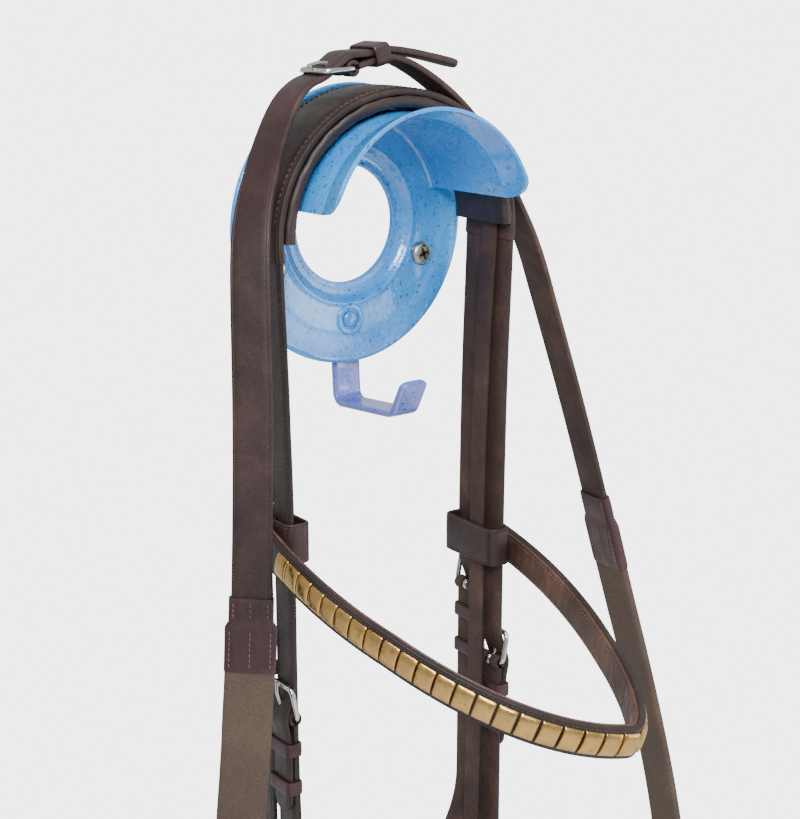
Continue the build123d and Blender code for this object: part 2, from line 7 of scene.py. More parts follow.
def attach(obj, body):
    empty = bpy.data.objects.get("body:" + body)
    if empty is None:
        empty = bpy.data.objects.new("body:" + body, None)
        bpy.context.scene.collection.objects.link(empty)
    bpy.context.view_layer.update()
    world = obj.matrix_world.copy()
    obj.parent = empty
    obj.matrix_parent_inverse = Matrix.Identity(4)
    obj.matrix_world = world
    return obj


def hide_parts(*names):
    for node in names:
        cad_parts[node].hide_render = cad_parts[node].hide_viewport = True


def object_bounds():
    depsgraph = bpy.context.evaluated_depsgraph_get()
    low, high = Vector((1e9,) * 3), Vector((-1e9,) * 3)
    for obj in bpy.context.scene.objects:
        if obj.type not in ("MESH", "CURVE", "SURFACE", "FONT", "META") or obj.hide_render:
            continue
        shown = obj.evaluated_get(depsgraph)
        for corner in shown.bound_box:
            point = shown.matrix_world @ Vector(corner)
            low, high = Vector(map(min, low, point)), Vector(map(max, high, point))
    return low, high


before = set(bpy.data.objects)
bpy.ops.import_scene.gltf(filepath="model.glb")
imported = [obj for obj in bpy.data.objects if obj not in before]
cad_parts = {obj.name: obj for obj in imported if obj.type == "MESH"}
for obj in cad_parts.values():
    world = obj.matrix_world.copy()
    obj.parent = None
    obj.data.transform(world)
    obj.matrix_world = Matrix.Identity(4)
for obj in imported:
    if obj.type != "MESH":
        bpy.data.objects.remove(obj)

CAD_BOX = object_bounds()
MM = 0.001

# ---------------------------------------------------------------- dimensions (mm)
HUB_Z = 18.5
YAW = math.radians(-3.0)
FRONT = -32.0
SIDE_X, REAR_Y, CHEEK_Y = 63.5, 10.6, -10.6
THROAT_Z, CHEEK_Z, THROAT_TURN_Z = -180.0, -216.0, -290.0
BIT_X, BIT_Z, RING_R, WIRE_R = 61.9, -440.0, 35.0, 4.0
STRAP_W, STRAP_T = 16.0, 2.6
REIN_W, REIN_T = 19.0, 3.2
GRIP_W, GRIP_T, SLEEVE_T = 24.0, 6.0, 7.4
BAR_R, FRAME_LEN = 1.4, 17.0
CROWN_R, CROWN_T, CROWN_W = 67.4, 3.6, 38.0
SLIP_R, SLIP_T, SLIP_W, SLIP_Y = 64.2, 2.4, 12.0, -4.2
BROW_Y, BROW_Z = -3.0, -150.0
BROW_A, BROW_RISE, BROW_END = math.radians(16.8), 25.0, 61.1
CLINCH_PITCH = 9.6
SCREW_X, PLATE_FACE = 45.0, -6.1
SIDES = ((-1, "left"), (1, "right"))


# ---------------------------------------------------------------- materials
def tree(name):
    m = bpy.data.materials.new(name)
    m.use_nodes = True
    nt = m.node_tree
    nt.nodes.clear()
    out = nt.nodes.new("ShaderNodeOutputMaterial")
    b = nt.nodes.new("ShaderNodeBsdfPrincipled")
    nt.links.new(b.outputs[0], out.inputs[0])
    tc = nt.nodes.new("ShaderNodeTexCoord")
    return m, nt, b, tc.outputs["Object"]


def noise(nt, vec, scale, detail=4.0, rough=0.55, dist=0.0):
    n = nt.nodes.new("ShaderNodeTexNoise")
    n.inputs["Scale"].default_value = scale
    n.inputs["Detail"].default_value = detail
    n.inputs["Roughness"].default_value = rough
    n.inputs["Distortion"].default_value = dist
    nt.links.new(vec, n.inputs["Vector"])
    return n.outputs["Fac"]


def voronoi(nt, vec, scale, feature="F1", smooth=None):
    n = nt.nodes.new("ShaderNodeTexVoronoi")
    n.feature = feature
    n.inputs["Scale"].default_value = scale
    if smooth is not None:
        n.inputs["Smoothness"].default_value = smooth
    nt.links.new(vec, n.inputs["Vector"])
    return n.outputs["Distance"]


def ramp(nt, fac, stops):
    r = nt.nodes.new("ShaderNodeValToRGB")
    els = r.color_ramp.elements
    while len(els) < len(stops):
        els.new(0.5)
    for e, (p, c) in zip(els, stops):
        e.position = p
        e.color = tuple(c) + (1,) if len(c) == 3 else c
    nt.links.new(fac, r.inputs[0])
    return r.outputs[0]


def grey(v):
    return (v, v, v)


def mix(nt, fac, a, b, mode="MIX"):
    m = nt.nodes.new("ShaderNodeMix")
    m.data_type = "RGBA"
    m.blend_type = mode
    if hasattr(fac, "is_linked"):
        nt.links.new(fac, m.inputs[0])
    else:
        m.inputs[0].default_value = fac
    for sock, v in ((m.inputs[6], a), (m.inputs[7], b)):
        if hasattr(v, "is_linked"):
            nt.links.new(v, sock)
        else:
            sock.default_value = tuple(v) + (1,)
    return m.outputs[2]


def bump(nt, b, layers):
    last = None
    for height, strength, distance in layers:
        n = nt.nodes.new("ShaderNodeBump")
        n.inputs["Strength"].default_value = strength
        n.inputs["Distance"].default_value = distance
        nt.links.new(height, n.inputs["Height"])
        if last is not None:
            nt.links.new(last, n.inputs["Normal"])
        last = n.outputs[0]
    nt.links.new(last, b.inputs["Normal"])


def lin(r, g, b):
    """sRGB 0-255 to linear."""
    out = []
    for c in (r, g, b):
        c /= 255.0
        out.append(c / 12.92 if c <= 0.04045 else ((c + 0.055) / 1.055) ** 2.4)
    return tuple(out)


def enamel(name, dark, mid, light, speck):
    m, nt, b, v = tree(name)
    cells = voronoi(nt, v, 430, "SMOOTH_F1", 0.5)
    big = noise(nt, v, 24, 3, 0.55)
    base = ramp(nt, big, [(0.30, dark), (0.52, mid), (0.74, light)])
    base = mix(nt, ramp(nt, cells, [(0.05, grey(0.38)), (0.5, grey(0.0))]), base, dark)
    fine = noise(nt, v, 560, 2, 0.6)
    mask = ramp(nt, fine, [(0.635, grey(0.0)), (0.685, grey(0.9))])
    base = mix(nt, mask, base, speck)
    pale = noise(nt, v, 430, 3, 0.7)
    base = mix(nt, ramp(nt, pale, [(0.63, grey(0.0)), (0.72, grey(0.45))]), base, lin(150, 200, 240))
    nt.links.new(base, b.inputs["Base Color"])
    rough = ramp(nt, noise(nt, v, 240, 3), [(0.3, grey(0.16)), (0.7, grey(0.34))])
    nt.links.new(rough, b.inputs["Roughness"])
    b.inputs["Metallic"].default_value = 0.1
    b.inputs["Coat Weight"].default_value = 0.8
    b.inputs["Coat Roughness"].default_value = 0.07
    bump(nt, b, [(cells, 0.32, 0.0005), (noise(nt, v, 170, 3), 0.30, 0.0008)])
    return m


def leather(name, dark, mid, light, rough=(0.36, 0.56), grain=1.0, coat=0.06):
    """Leather between three sRGB tones."""
    m, nt, b, v = tree(name)
    big = noise(nt, v, 26, 4, 0.6, 0.4)
    small = noise(nt, v, 330, 5, 0.65)
    base = ramp(nt, big, [(0.28, lin(*dark)), (0.52, lin(*mid)), (0.76, lin(*light))])
    tone = ramp(nt, small, [(0.25, grey(0.72)), (0.6, grey(1.0)), (0.85, grey(1.14))])
    nt.links.new(mix(nt, 1.0, base, tone, "MULTIPLY"), b.inputs["Base Color"])
    r = ramp(nt, noise(nt, v, 90, 4), [(0.3, grey(rough[0])), (0.7, grey(rough[1]))])
    nt.links.new(r, b.inputs["Roughness"])
    pores = voronoi(nt, v, 1150, "DISTANCE_TO_EDGE")
    pore = ramp(nt, pores, [(0.0, grey(0.0)), (0.16, grey(1.0))])
    b.inputs["Specular IOR Level"].default_value = 0.34
    b.inputs["Coat Weight"].default_value = coat
    b.inputs["Coat Roughness"].default_value = 0.38
    coarse = noise(nt, v, 70, 3)
    bump(nt, b, [(pore, 0.28 * grain, 0.00016), (small, 0.30 * grain, 0.00025), (coarse, 0.25, 0.0009)])
    return m


def metal(name, color, rough, scratches=0.4, tarnish=None):
    m, nt, b, v = tree(name)
    big = noise(nt, v, 120, 4, 0.6)
    c = ramp(nt, big, [(0.3, tuple(x * 0.82 for x in color)), (0.65, color)])
    if tarnish is not None:
        c = mix(nt, ramp(nt, noise(nt, v, 260, 5, 0.7), [(0.56, grey(0.0)), (0.72, grey(0.7))]), c, tarnish)
    nt.links.new(c, b.inputs["Base Color"])
    b.inputs["Metallic"].default_value = 1.0
    r = ramp(nt, noise(nt, v, 500, 4), [(0.3, grey(rough * 0.7)), (0.7, grey(rough * 1.5))])
    nt.links.new(r, b.inputs["Roughness"])
    bump(nt, b, [(noise(nt, v, 900, 3), 0.10 * scratches, 0.00012)])
    return m


def rubber(name):
    m, nt, b, v = tree(name)
    uv = nt.nodes.new("ShaderNodeUVMap").outputs[0]
    big = noise(nt, v, 30, 4, 0.6, 0.3)
    base = ramp(nt, big, [(0.3, lin(66, 53, 45)), (0.55, lin(75, 61, 52)), (0.78, lin(86, 71, 61))])
    fine = noise(nt, v, 700, 4, 0.6)
    tone = ramp(nt, fine, [(0.3, grey(0.84)), (0.7, grey(1.1))])
    nt.links.new(mix(nt, 1.0, base, tone, "MULTIPLY"), b.inputs["Base Color"])
    b.inputs["Specular IOR Level"].default_value = 0.30
    r = ramp(nt, big, [(0.3, grey(0.66)), (0.7, grey(0.82))])
    nt.links.new(r, b.inputs["Roughness"])
    pimple = voronoi(nt, uv, 1.0, "F1")
    dots = ramp(nt, pimple, [(0.18, grey(1.0)), (0.44, grey(0.0))])
    bump(nt, b, [(dots, 0.55, 0.00045), (fine, 0.2, 0.0002)])
    return m


M = {
    "enamel": enamel("blue_enamel", lin(30, 118, 194), lin(44, 136, 212), lin(68, 154, 224), lin(8, 40, 84)),
    "lilac": enamel("lilac_enamel", lin(72, 88, 168), lin(92, 106, 188), lin(122, 134, 206), lin(32, 36, 86)),
    "leather": leather("brown_leather", (22, 13, 13), (34, 22, 21), (50, 35, 32)),
    "rein": leather("rein_leather", (29, 15, 16), (42, 25, 25), (58, 38, 36), grain=0.8),
    "edge": leather("leather_edge", (20, 14, 13), (36, 26, 23), (60, 45, 38), (0.45, 0.6), 0.6, 0.0),
    "rein_edge": leather("rein_edge", (30, 19, 17), (52, 36, 31), (84, 62, 52), (0.45, 0.6), 0.6, 0.0),
    "dark_edge": leather("dark_edge", (14, 10, 10), (24, 17, 17), (42, 32, 29), (0.4, 0.55), 0.5, 0.1),
    "flesh": leather("flesh_side", (40, 27, 23), (58, 40, 34), (84, 60, 50), (0.6, 0.8), 1.4, 0.0),
    "maroon": leather("maroon_leather", (30, 13, 17), (52, 27, 32), (76, 44, 48)),
    "lining": leather("lining_leather", (44, 27, 21), (74, 48, 38), (112, 79, 62), (0.36, 0.52), 2.6, 0.15),
    "thread": leather("thread", (34, 26, 24), (58, 47, 43), (92, 78, 71), (0.6, 0.8), 0.6, 0.0),
    "pale_thread": leather("pale_thread", (74, 54, 46), (108, 84, 72), (142, 114, 98), (0.6, 0.8), 0.6, 0.0),
    # Near-black for punched holes and screw slots: painted shade of their depth, since the holes are dark
    # discs on the leather rather than cut through.
    "hole": leather("punched_hole", (3, 2, 2), (7, 5, 5), (14, 10, 10), (0.8, 0.9), 0.5, 0.0),
    "brass": metal("brass", lin(188, 152, 92), 0.27, 0.8, lin(104, 76, 44)),
    "steel": metal("buckle_steel", lin(204, 202, 198), 0.16),
    "bit": metal("bit_steel", lin(204, 204, 202), 0.14),
    "zinc": metal("zinc_steel", lin(176, 180, 170), 0.30, 0.8, lin(128, 120, 96)),
    "rubber": rubber("grip_rubber"),
}


# ---------------------------------------------------------------- mesh tools
def turn_z(v):
    """Headstall directions to the row frame."""
    v = np.asarray(v, float)
    c, s = math.cos(YAW), math.sin(YAW)
    return np.stack([v[..., 0] * c - v[..., 1] * s, v[..., 0] * s + v[..., 1] * c, v[..., 2]], axis=-1)


def rot_z(p):
    """Headstall points (mm) to the row frame (mm)."""
    return turn_z(p) + (0.0, FRONT, 0.0)


def unit(v):
    v = np.asarray(v, float)
    return v / np.maximum(np.linalg.norm(v, axis=-1, keepdims=True), 1e-9)


def bend(cx, cy, r, start, end, n):
    """Points along an arc between two angles in degrees."""
    return [(cx + r * math.cos(a), cy + r * math.sin(a)) for a in np.radians(np.linspace(start, end, n))]


def lengths(p):
    """Distance along a line of points."""
    return np.concatenate([[0], np.cumsum(np.linalg.norm(np.diff(p, axis=0), axis=1))])


def sampled(s, d, p):
    """Points of p, at distances d, read at the distances s."""
    return np.stack([np.interp(s, d, p[:, k]) for k in range(p.shape[1])], axis=-1)


def chaikin(p, times=2):
    p = np.asarray(p, float)
    for _ in range(times):
        q = np.empty((2 * len(p), p.shape[1]))
        q[0], q[-1] = p[0], p[-1]
        q[1:-1:2] = p[:-1] * 0.75 + p[1:] * 0.25
        q[2::2] = p[:-1] * 0.25 + p[1:] * 0.75
        p = q
    return p


def resample(p, step):
    p = np.asarray(p, float)
    d = lengths(p)
    return sampled(np.linspace(0, d[-1], max(int(round(d[-1] / step)), 2) + 1), d, p)


def even(p, step=3.0, times=3):
    return resample(chaikin(p, times), step)


def dense_end(points, step=3.0, end=8.0, times=3):
    """Even points, closer together near the free end."""
    p = even(points, step, times)
    d = lengths(p)
    s = list(d[d < d[-1] - end]) + list(d[-1] - end * (1 - np.linspace(0, 1, 12) ** 0.6))
    return sampled(s, d, p)


def bezier(p0, p1, p2, p3, n):
    t = np.linspace(0, 1, n)[:, None]
    p0, p1, p2, p3 = (np.asarray(q, float) for q in (p0, p1, p2, p3))
    return (1 - t) ** 3 * p0 + 3 * (1 - t) ** 2 * t * p1 + 3 * (1 - t) * t * t * p2 + t ** 3 * p3


def frames(pts, across, flip=False):
    t = unit(np.gradient(pts, axis=0))
    a = np.broadcast_to(np.asarray(across, float), pts.shape)
    a = unit(a - t * np.sum(a * t, axis=1, keepdims=True))
    n = np.cross(t, a)
    return t, a, -n if flip else n


class Line:
    """A strap's centre line with its across and outward directions, row frame, mm."""

    def __init__(self, pts, across, flip=False):
        self.p = np.asarray(pts, float)
        self.t, self.a, self.n = frames(self.p, across, flip)
        self.d = lengths(self.p)

    def at(self, s):
        return [sampled(s, self.d, arr) for arr in (self.p, self.t, self.a, self.n)]

    def part(self, keep):
        """The stretch of the line picked by a mask, with its outward side kept."""
        cut = Line(self.p[keep], self.a[keep])
        cut.n = self.n[keep]
        return cut


def outwards(line, towards, at=None):
    """The line with its outward side facing a direction at one of its points."""
    i = len(line.p) // 2 if at is None else at
    return line if np.dot(line.n[i], towards) > 0 else Line(line.p, line.a, True)


def mesh_object(name, verts, faces, mats, mat_index=None, uv=None, sharp=38):
    me = bpy.data.meshes.new(name)
    me.from_pydata([tuple(v) for v in np.asarray(verts) * MM], [], [tuple(f) for f in faces])
    for m in mats:
        me.materials.append(M[m])
    if mat_index is not None:
        me.polygons.foreach_set("material_index", np.asarray(mat_index, dtype=np.int32))
    if uv is not None:
        layer = me.uv_layers.new(name="UVMap")
        loops = np.empty(len(me.loops), dtype=np.int32)
        me.loops.foreach_get("vertex_index", loops)
        layer.data.foreach_set("uv", np.asarray(uv)[loops].ravel())
    me.validate()
    me.update()
    me.polygons.foreach_set("use_smooth", [True] * len(me.polygons))
    me.set_sharp_from_angle(angle=math.radians(sharp))
    o = bpy.data.objects.new(name, me)
    bpy.context.scene.collection.objects.link(o)
    return o


def settle(o, body, node=None):
    """Body and the CAD node that the piece stands for."""
    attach(o, body)
    if node:
        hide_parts(node)
    return o


class Soup:
    """Collects many small pieces into one mesh."""

    def __init__(self):
        self.v, self.f, self.m, self.uv, self.n = [], [], [], [], 0

    def add(self, verts, faces, mat=0, uv=None):
        verts = np.asarray(verts, float)
        self.v.append(verts)
        self.f += [tuple(i + self.n for i in f) for f in faces]
        self.m += list(mat) if hasattr(mat, "__len__") else [mat] * len(faces)
        self.uv.append(np.asarray(uv, float) if uv is not None else np.zeros((len(verts), 2)))
        self.n += len(verts)

    def make(self, name, mats, body, slot, node=None, sharp=38):
        o = mesh_object(name, np.concatenate(self.v), self.f, mats, self.m, np.concatenate(self.uv), sharp)
        return settle(o, body, node)


def grid_faces(rows, cols, wrap_rows=False, wrap_cols=True):
    """Quads between neighbouring rings, each of cols points."""
    faces = []
    for i in range(rows if wrap_rows else rows - 1):
        i2 = (i + 1) % rows
        for j in range(cols if wrap_cols else cols - 1):
            j2 = (j + 1) % cols
            faces.append((i * cols + j, i * cols + j2, i2 * cols + j2, i2 * cols + j))
    return faces


def end_caps(rows, cols):
    return [tuple(range(cols - 1, -1, -1)), tuple((rows - 1) * cols + j for j in range(cols))]


def swept(line, section, scale=None, lift=None, pitch=2.2):
    """Vertices, faces, material indices and UVs of a section swept along a Line."""
    sec = np.array([(s[0], s[1]) for s in section], float)
    n, m = len(line.p), len(sec)
    sc = np.ones((n, 2)) if scale is None else np.asarray(scale, float)
    if sc.ndim == 1:
        sc = np.stack([sc, np.ones(n)], axis=1)
    u = sec[None, :, 0] * sc[:, None, 0]
    w = sec[None, :, 1] * sc[:, None, 1]
    if lift is not None:
        w = w + lift(line.d[:, None], u, sec[None, :, 1])
    v = line.p[:, None, :] + line.a[:, None, :] * u[..., None] + line.n[:, None, :] * w[..., None]
    mats = [s[2] for s in section] * (n - 1) + [1, 1]
    uv = np.stack(np.meshgrid(lengths(sec) / pitch, line.d / pitch), axis=-1).reshape(-1, 2)
    return v.reshape(-1, 3), grid_faces(n, m) + end_caps(n, m), mats, uv


def leather_section(w, t, crease=1.7, groove=0.22, dome=0.0, r=None, under=2):
    """Closed section of a strap: 0 grain, 1 cut edge, 2 underside. v up is outwards."""
    h = w / 2
    r = r or min(0.42 * t, 1.1)
    inner = h - crease - 0.45
    half = [(h - r, t / 2), (inner + 0.9, t / 2), (h - crease, t / 2 - groove), (inner, t / 2)]
    k = 6
    top = list(half)
    for i in range(1, k):
        u = inner * (1 - 2 * i / k)
        top.append((u, t / 2 + dome * (1 - (u / inner) ** 2)))
    top += [(-u, v) for u, v in half[::-1]]
    pts = [(h, -t / 2 + r, 1), (h, t / 2 - r, 1), (h - r * 0.3, t / 2 - r * 0.3, 0)]
    pts += [(u, v, 0) for u, v in top]
    pts += [(-h + r * 0.3, t / 2 - r * 0.3, 1), (-h, t / 2 - r, 1), (-h, -t / 2 + r, 1)]
    pts += [(-h + r * 0.3, -t / 2 + r * 0.3, under), (-h + r, -t / 2, under), (0, -t / 2, under)]
    pts += [(h - r, -t / 2, under), (h - r * 0.3, -t / 2 + r * 0.3, 1)]
    return pts


def round_section(w, t, k=28, power=3.2):
    """Section with softly squared corners, all of the first material."""
    pts = []
    for i in range(k):
        a = 2 * math.pi * i / k
        u, v = (math.copysign(abs(q) ** (2 / power), q) for q in (math.cos(a), math.sin(a)))
        pts.append((w / 2 * u, t / 2 * v, 0))
    return pts


STITCH = ((-0.5, 0.15), (-0.36, 0.75), (0.0, 1.0), (0.36, 0.75), (0.5, 0.15))


def stitch(soup, line, start, end, offset, height, pitch=2.5, length=1.75, r=0.30, mat=0):
    """A row of raised saddle stitches along a line."""
    k = 6
    faces = grid_faces(len(STITCH), k)
    for c in np.arange(start + pitch / 2, end - pitch / 4, pitch):
        p, _, a, n = line.at(np.clip([c + x * length for x, _ in STITCH], line.d[0], line.d[-1]))
        verts = []
        for i, (_, high) in enumerate(STITCH):
            rr = r * (0.45 + 0.55 * high)
            for q in range(k):
                ang = 2 * math.pi * q / k
                aside = offset + rr * math.cos(ang) + 0.18 * (i - 2) / 2
                up = height + r * (high - 0.75) + rr * math.sin(ang) * 0.9
                verts.append(p[i] + a[i] * aside + n[i] * up)
        soup.add(verts, faces, mat)


def stitch_both(soup, line, start, end, offset, height, *shape):
    """The same row of stitches near both edges."""
    for side in (-1, 1):
        stitch(soup, line, start, end, side * offset, height, *shape)


def lathe(profile, origin, axis, start_dir, k=64, closed=True):
    """Profile [(r, h)] turned about an axis through origin; h runs along the axis."""
    ax = unit(axis)
    x = unit(np.asarray(start_dir, float) - ax * np.dot(start_dir, ax))
    y = np.cross(ax, x)
    verts = []
    for i in range(k):
        a = 2 * math.pi * i / k
        d = x * math.cos(a) + y * math.sin(a)
        verts += [np.asarray(origin) + d * r + ax * h for r, h in profile]
    return verts, [f[:1] + f[:0:-1] for f in grid_faces(k, len(profile), True, closed)]


def smooth_profile(pts, times=2, closed=True):
    p = np.asarray(pts, float)
    for _ in range(times):
        if closed:
            nxt = np.roll(p, -1, axis=0)
            q = np.empty((2 * len(p), 2))
            q[0::2] = p * 0.75 + nxt * 0.25
            q[1::2] = p * 0.25 + nxt * 0.75
            p = q
        else:
            p = chaikin(p, 1)
    return p


def domed(profile, origin, k, axis=(0, 1, 0), start_dir=(1, 0, 0)):
    """A rounded head or ring turned about its axis."""
    return lathe(smooth_profile(profile, 2, False), origin, axis, start_dir, k, False)


def tube(path, radius, k=14, closed=False):
    """Round bar along a path of points."""
    p = np.asarray(path, float)
    n = len(p)
    t = unit(np.roll(p, -1, 0) - np.roll(p, 1, 0)) if closed else unit(np.gradient(p, axis=0))
    a = unit(np.cross(t[0], (0.31, 0.23, 0.92)))
    rad = np.broadcast_to(np.asarray(radius, float), (n,))
    verts = []
    for i in range(n):
        a = unit(a - t[i] * np.dot(a, t[i]))
        b = np.cross(t[i], a)
        for q in range(k):
            ang = 2 * math.pi * q / k
            verts.append(p[i] + rad[i] * (a * math.cos(ang) + b * math.sin(ang)))
    return verts, grid_faces(n, k, closed) + ([] if closed else end_caps(n, k))


# ---------------------------------------------------------------- bracket
def build_plate():
    profile = [
        (29.5, -2.5), (29.4, -1.2), (29.6, -0.1), (33.0, 0.0), (35.8, -0.2), (38.4, -2.8), (40.4, -3.5),
        (48.0, -3.5), (57.5, -3.5), (61.0, -4.7), (67.6, -5.4), (69.2, -5.2), (70.0, -5.7),
        (69.8, -7.2), (68.6, -7.9), (66.6, -7.75), (62.0, -7.4), (59.5, -6.9), (57.0, -6.15), (53.0, -6.0),
        (44.0, -6.0), (41.4, -6.1), (40.1, -6.45), (39.2, -6.2), (37.6, -4.3), (35.6, -2.9), (33.0, -2.5),
        (30.6, -2.6),
    ]
    rim = lathe(smooth_profile(profile, 1), (0, 0, HUB_Z), (0, 1, 0), (1, 0, 0), 200)
    settle(mesh_object("plate", *rim, ["enamel"]), "bracket", "back_plate")


def build_arch():
    R, T, tip, corner, edge_h = 58.1, 2.5, -76.5, 13.4, 14.8
    sec = [(R + 0.5, -6.5), (R + 0.1, -7.6), (R, -9.2), (R, -25), (R, -45), (R - 0.05, -60.5), (R, -62.7),
           (R + 1.4, -67.5), (R + 2.9, -72.8), (R + 3.6, -75.4), (R + 3.5, -76.3), (R + 2.7, -76.6),
           (R + 1.7, -76.3), (R + 1.0, -74.6), (R - T + 2.6, -71.5), (R - T + 1.3, -67.0), (R - T, -62.7),
           (R - T - 0.02, -60), (R - T, -45), (R - T, -25), (R - T, -11.5), (R - T - 0.35, -9.0),
           (R - T - 1.1, -7.2), (R - T - 2.3, -6.1)]
    k, m = 120, len(sec)

    def lift(y):
        """Rise of the lower edge round the front corners."""
        d = tip + corner - max(y, tip)
        return corner - math.sqrt(max(corner ** 2 - d ** 2, 0.0)) if d > 0 else 0.0
    verts = []
    for i in range(k + 1):
        for r, y in sec:
            low = math.asin(min((edge_h + lift(y)) / r, 0.999))
            a = low + (math.pi - 2 * low) * i / k
            verts.append((r * math.cos(a), y, HUB_Z + r * math.sin(a)))
    faces = grid_faces(k + 1, m)
    for j in range(m // 2 - 1):
        quad = (j, j + 1, m - 2 - j, m - 1 - j)
        faces += [quad, tuple(k * m + q for q in quad[::-1])]
    o = mesh_object("arch", verts, faces, ["enamel"], sharp=9)
    bev = o.modifiers.new("edge", "BEVEL")
    bev.width = 0.0007
    bev.segments = 3
    bev.limit_method = "ANGLE"
    bev.angle_limit = math.radians(45)
    settle(o, "bracket", "bridle_arch")


def build_hook():
    width, thick, corner = 16.0, 3.2, 2.6
    line = [(-1.8, -22.2), (-1.8, -40.0), (-1.8, -54.0), (-2.2, -60.0), (-2.6, -66.0)]
    line += bend(-8.2, -66.6, 5.6, 0, -93, 9) + [(-20.0, -71.5), (-34.0, -70.7)]
    line += bend(-46.2, -64.4, 5.6, -93, -152, 8) + [(-54.6, -60.5), (-58.6, -52.8)]
    p = resample(line, 1.0)
    L = Line(np.stack([np.zeros(len(p)), p[:, 0], p[:, 1]], axis=1), (1, 0, 0))
    left = np.minimum(L.d[-1] - L.d, corner)
    scale = 1 - (corner - np.sqrt(corner ** 2 - (corner - left) ** 2)) / (width / 2)
    v, f, _, uv = swept(L, round_section(width, thick, 32, 7.0), scale)
    o = mesh_object("hook", v, f, ["lilac"], None, uv, sharp=50)
    settle(o, "bracket", "coat_hook")


def build_fixings():
    y = PLATE_FACE
    s = Soup()
    head = [(0.05, -9.4), (2.6, -9.35), (4.8, -8.9), (6.0, -7.4), (6.1, -6.3), (5.0, y), (0.05, y)]
    shank = [(2.35, -6.2), (2.3, 1.0)]
    for i in range(9):
        h = 1.5 + i * 1.3
        shank += [(1.75, h), (2.35, h + 0.45), (2.35, h + 0.6), (1.75, h + 1.05)]
    shank.append((0.3, 15.1))
    for x in (-SCREW_X, SCREW_X):
        s.add(*domed(head, (x, 0, 0), 48))
        s.add(*lathe(shank, (x, 0, 0), (0, 1, 0), (1, 0, 0), 20, False))
        # Cross slots: shallow quads in the near-black material, painted shade of the recess.
        for ang, ln, wd in ((20, 3.0, 0.62), (110, 3.0, 0.62), (65, 2.1, 0.24), (155, 2.1, 0.24)):
            a = math.radians(ang)
            d, e = np.array((math.cos(a), 0, math.sin(a))), np.array((-math.sin(a), 0, math.cos(a)))
            c = np.array((x, -9.42, 0))
            quad = [c + d * ln - e * wd, c + d * ln + e * wd, c - d * ln + e * wd, c - d * ln - e * wd]
            deep = [q + np.array((0, 0.3, 0)) for q in quad]
            s.add(quad + deep, [(0, 1, 2, 3), (0, 4, 5, 1), (1, 5, 6, 2), (2, 6, 7, 3), (3, 7, 4, 0)], 1)
    s.make("screws", ["zinc", "hole"], "bracket", "zinc_steel", "wall_screws")
    s = Soup()
    head = [(0.05, -8.2), (2.2, -8.1), (3.6, -7.6), (4.3, -6.9), (4.4, -6.3), (3.6, y), (0.05, y)]
    ring = [(5.0, -6.0), (5.1, -6.7), (6.2, -7.0), (7.6, -6.9), (8.2, -6.3), (8.3, -6.0)]
    s.add(*domed(head, (0, 0, -29.5), 40))
    s.add(*domed(ring, (0, 0, -29.5), 48), 1)
    s.make("rivet", ["enamel", "enamel"], "bracket", "blue_enamel", "hook_rivet")


# ---------------------------------------------------------------- headstall lines
def hs(points, y):
    """Side view points (x, z) of the headstall frame at its depth y."""
    p = np.asarray(points, float)
    return rot_z(np.stack([p[:, 0], np.full(len(p), y), p[:, 1]], axis=1))


ACROSS = turn_z((0.0, 1.0, 0.0))
TILT = math.radians(8.0)
NOSE_Z = -375.0
REIN_A = math.radians(105.0)
REIN_HEEL = (81 * math.cos(REIN_A), HUB_Z + 81 * math.sin(REIN_A))
threads, brow_threads, holes = Soup(), Soup(), Soup()
LEATHER = ["leather", "edge", "flesh"]
REIN_LEATHER = ["rein", "rein_edge", "flesh"]


class Place:
    """A frame (outwards, across, along) fixed to the headstall, read in the row frame, mm."""

    def __init__(self, origin, out, across, along):
        self.o = rot_z(np.asarray(origin, float))
        self.out, self.ac, self.al = (turn_z(np.asarray(v, float)) for v in (out, across, along))

    def __call__(self, p):
        p = np.asarray(p, float)
        return self.o + p[..., 0:1] * self.out + p[..., 1:2] * self.ac + p[..., 2:3] * self.al


def tilted(x, y, z):
    """Directions of the noseband's own frame."""
    return (x, y * math.cos(TILT) - z * math.sin(TILT), y * math.sin(TILT) + z * math.cos(TILT))


def placed(x, y, z):
    v = tilted(x, y, z)
    return (v[0], v[1], v[2] + NOSE_Z)


def side_place(side, x, y, z):
    return Place((side * x, y, z), (side, 0, 0), (0, side, 0), (0, 0, 1))


PLACES = {
    "chin": Place(placed(-18, 20, 0), tilted(0, 1, 0), tilted(0, 0, 1), (1, 0, 0)),
    "rein": Place((REIN_HEEL[0], 0, REIN_HEEL[1]), (math.cos(REIN_A), 0, math.sin(REIN_A)), (0, 1, 0),
                  (-math.sin(REIN_A), 0, math.cos(REIN_A))),
}
for sign, which in SIDES:
    PLACES["throat_" + which] = side_place(sign, SIDE_X, REAR_Y, THROAT_Z)
    PLACES["cheek_" + which] = side_place(sign, SIDE_X, CHEEK_Y, CHEEK_Z)


def billet(t, tail):
    """Strap end (outwards, along) that rises over a buckle's bar and lies back down."""
    lift = BAR_R + 0.3 + t * 0.75 + 0.35 + t / 2
    rest = t + 0.35
    return [(0, 24), (0, 14.8), (lift, 1.6), (lift, -1.6), (rest, -12), (rest, -tail)]


def mirror(points, side):
    return [(side * x, z) for x, z in points]


def tip_scale(line, length, start=False):
    """Width factors for the rounded point of a free end."""
    e = line.d if start else line.d[-1] - line.d
    return np.maximum(np.sqrt(1 - (1 - np.clip(e / length, 0, 1)) ** 2.2), 0.12)


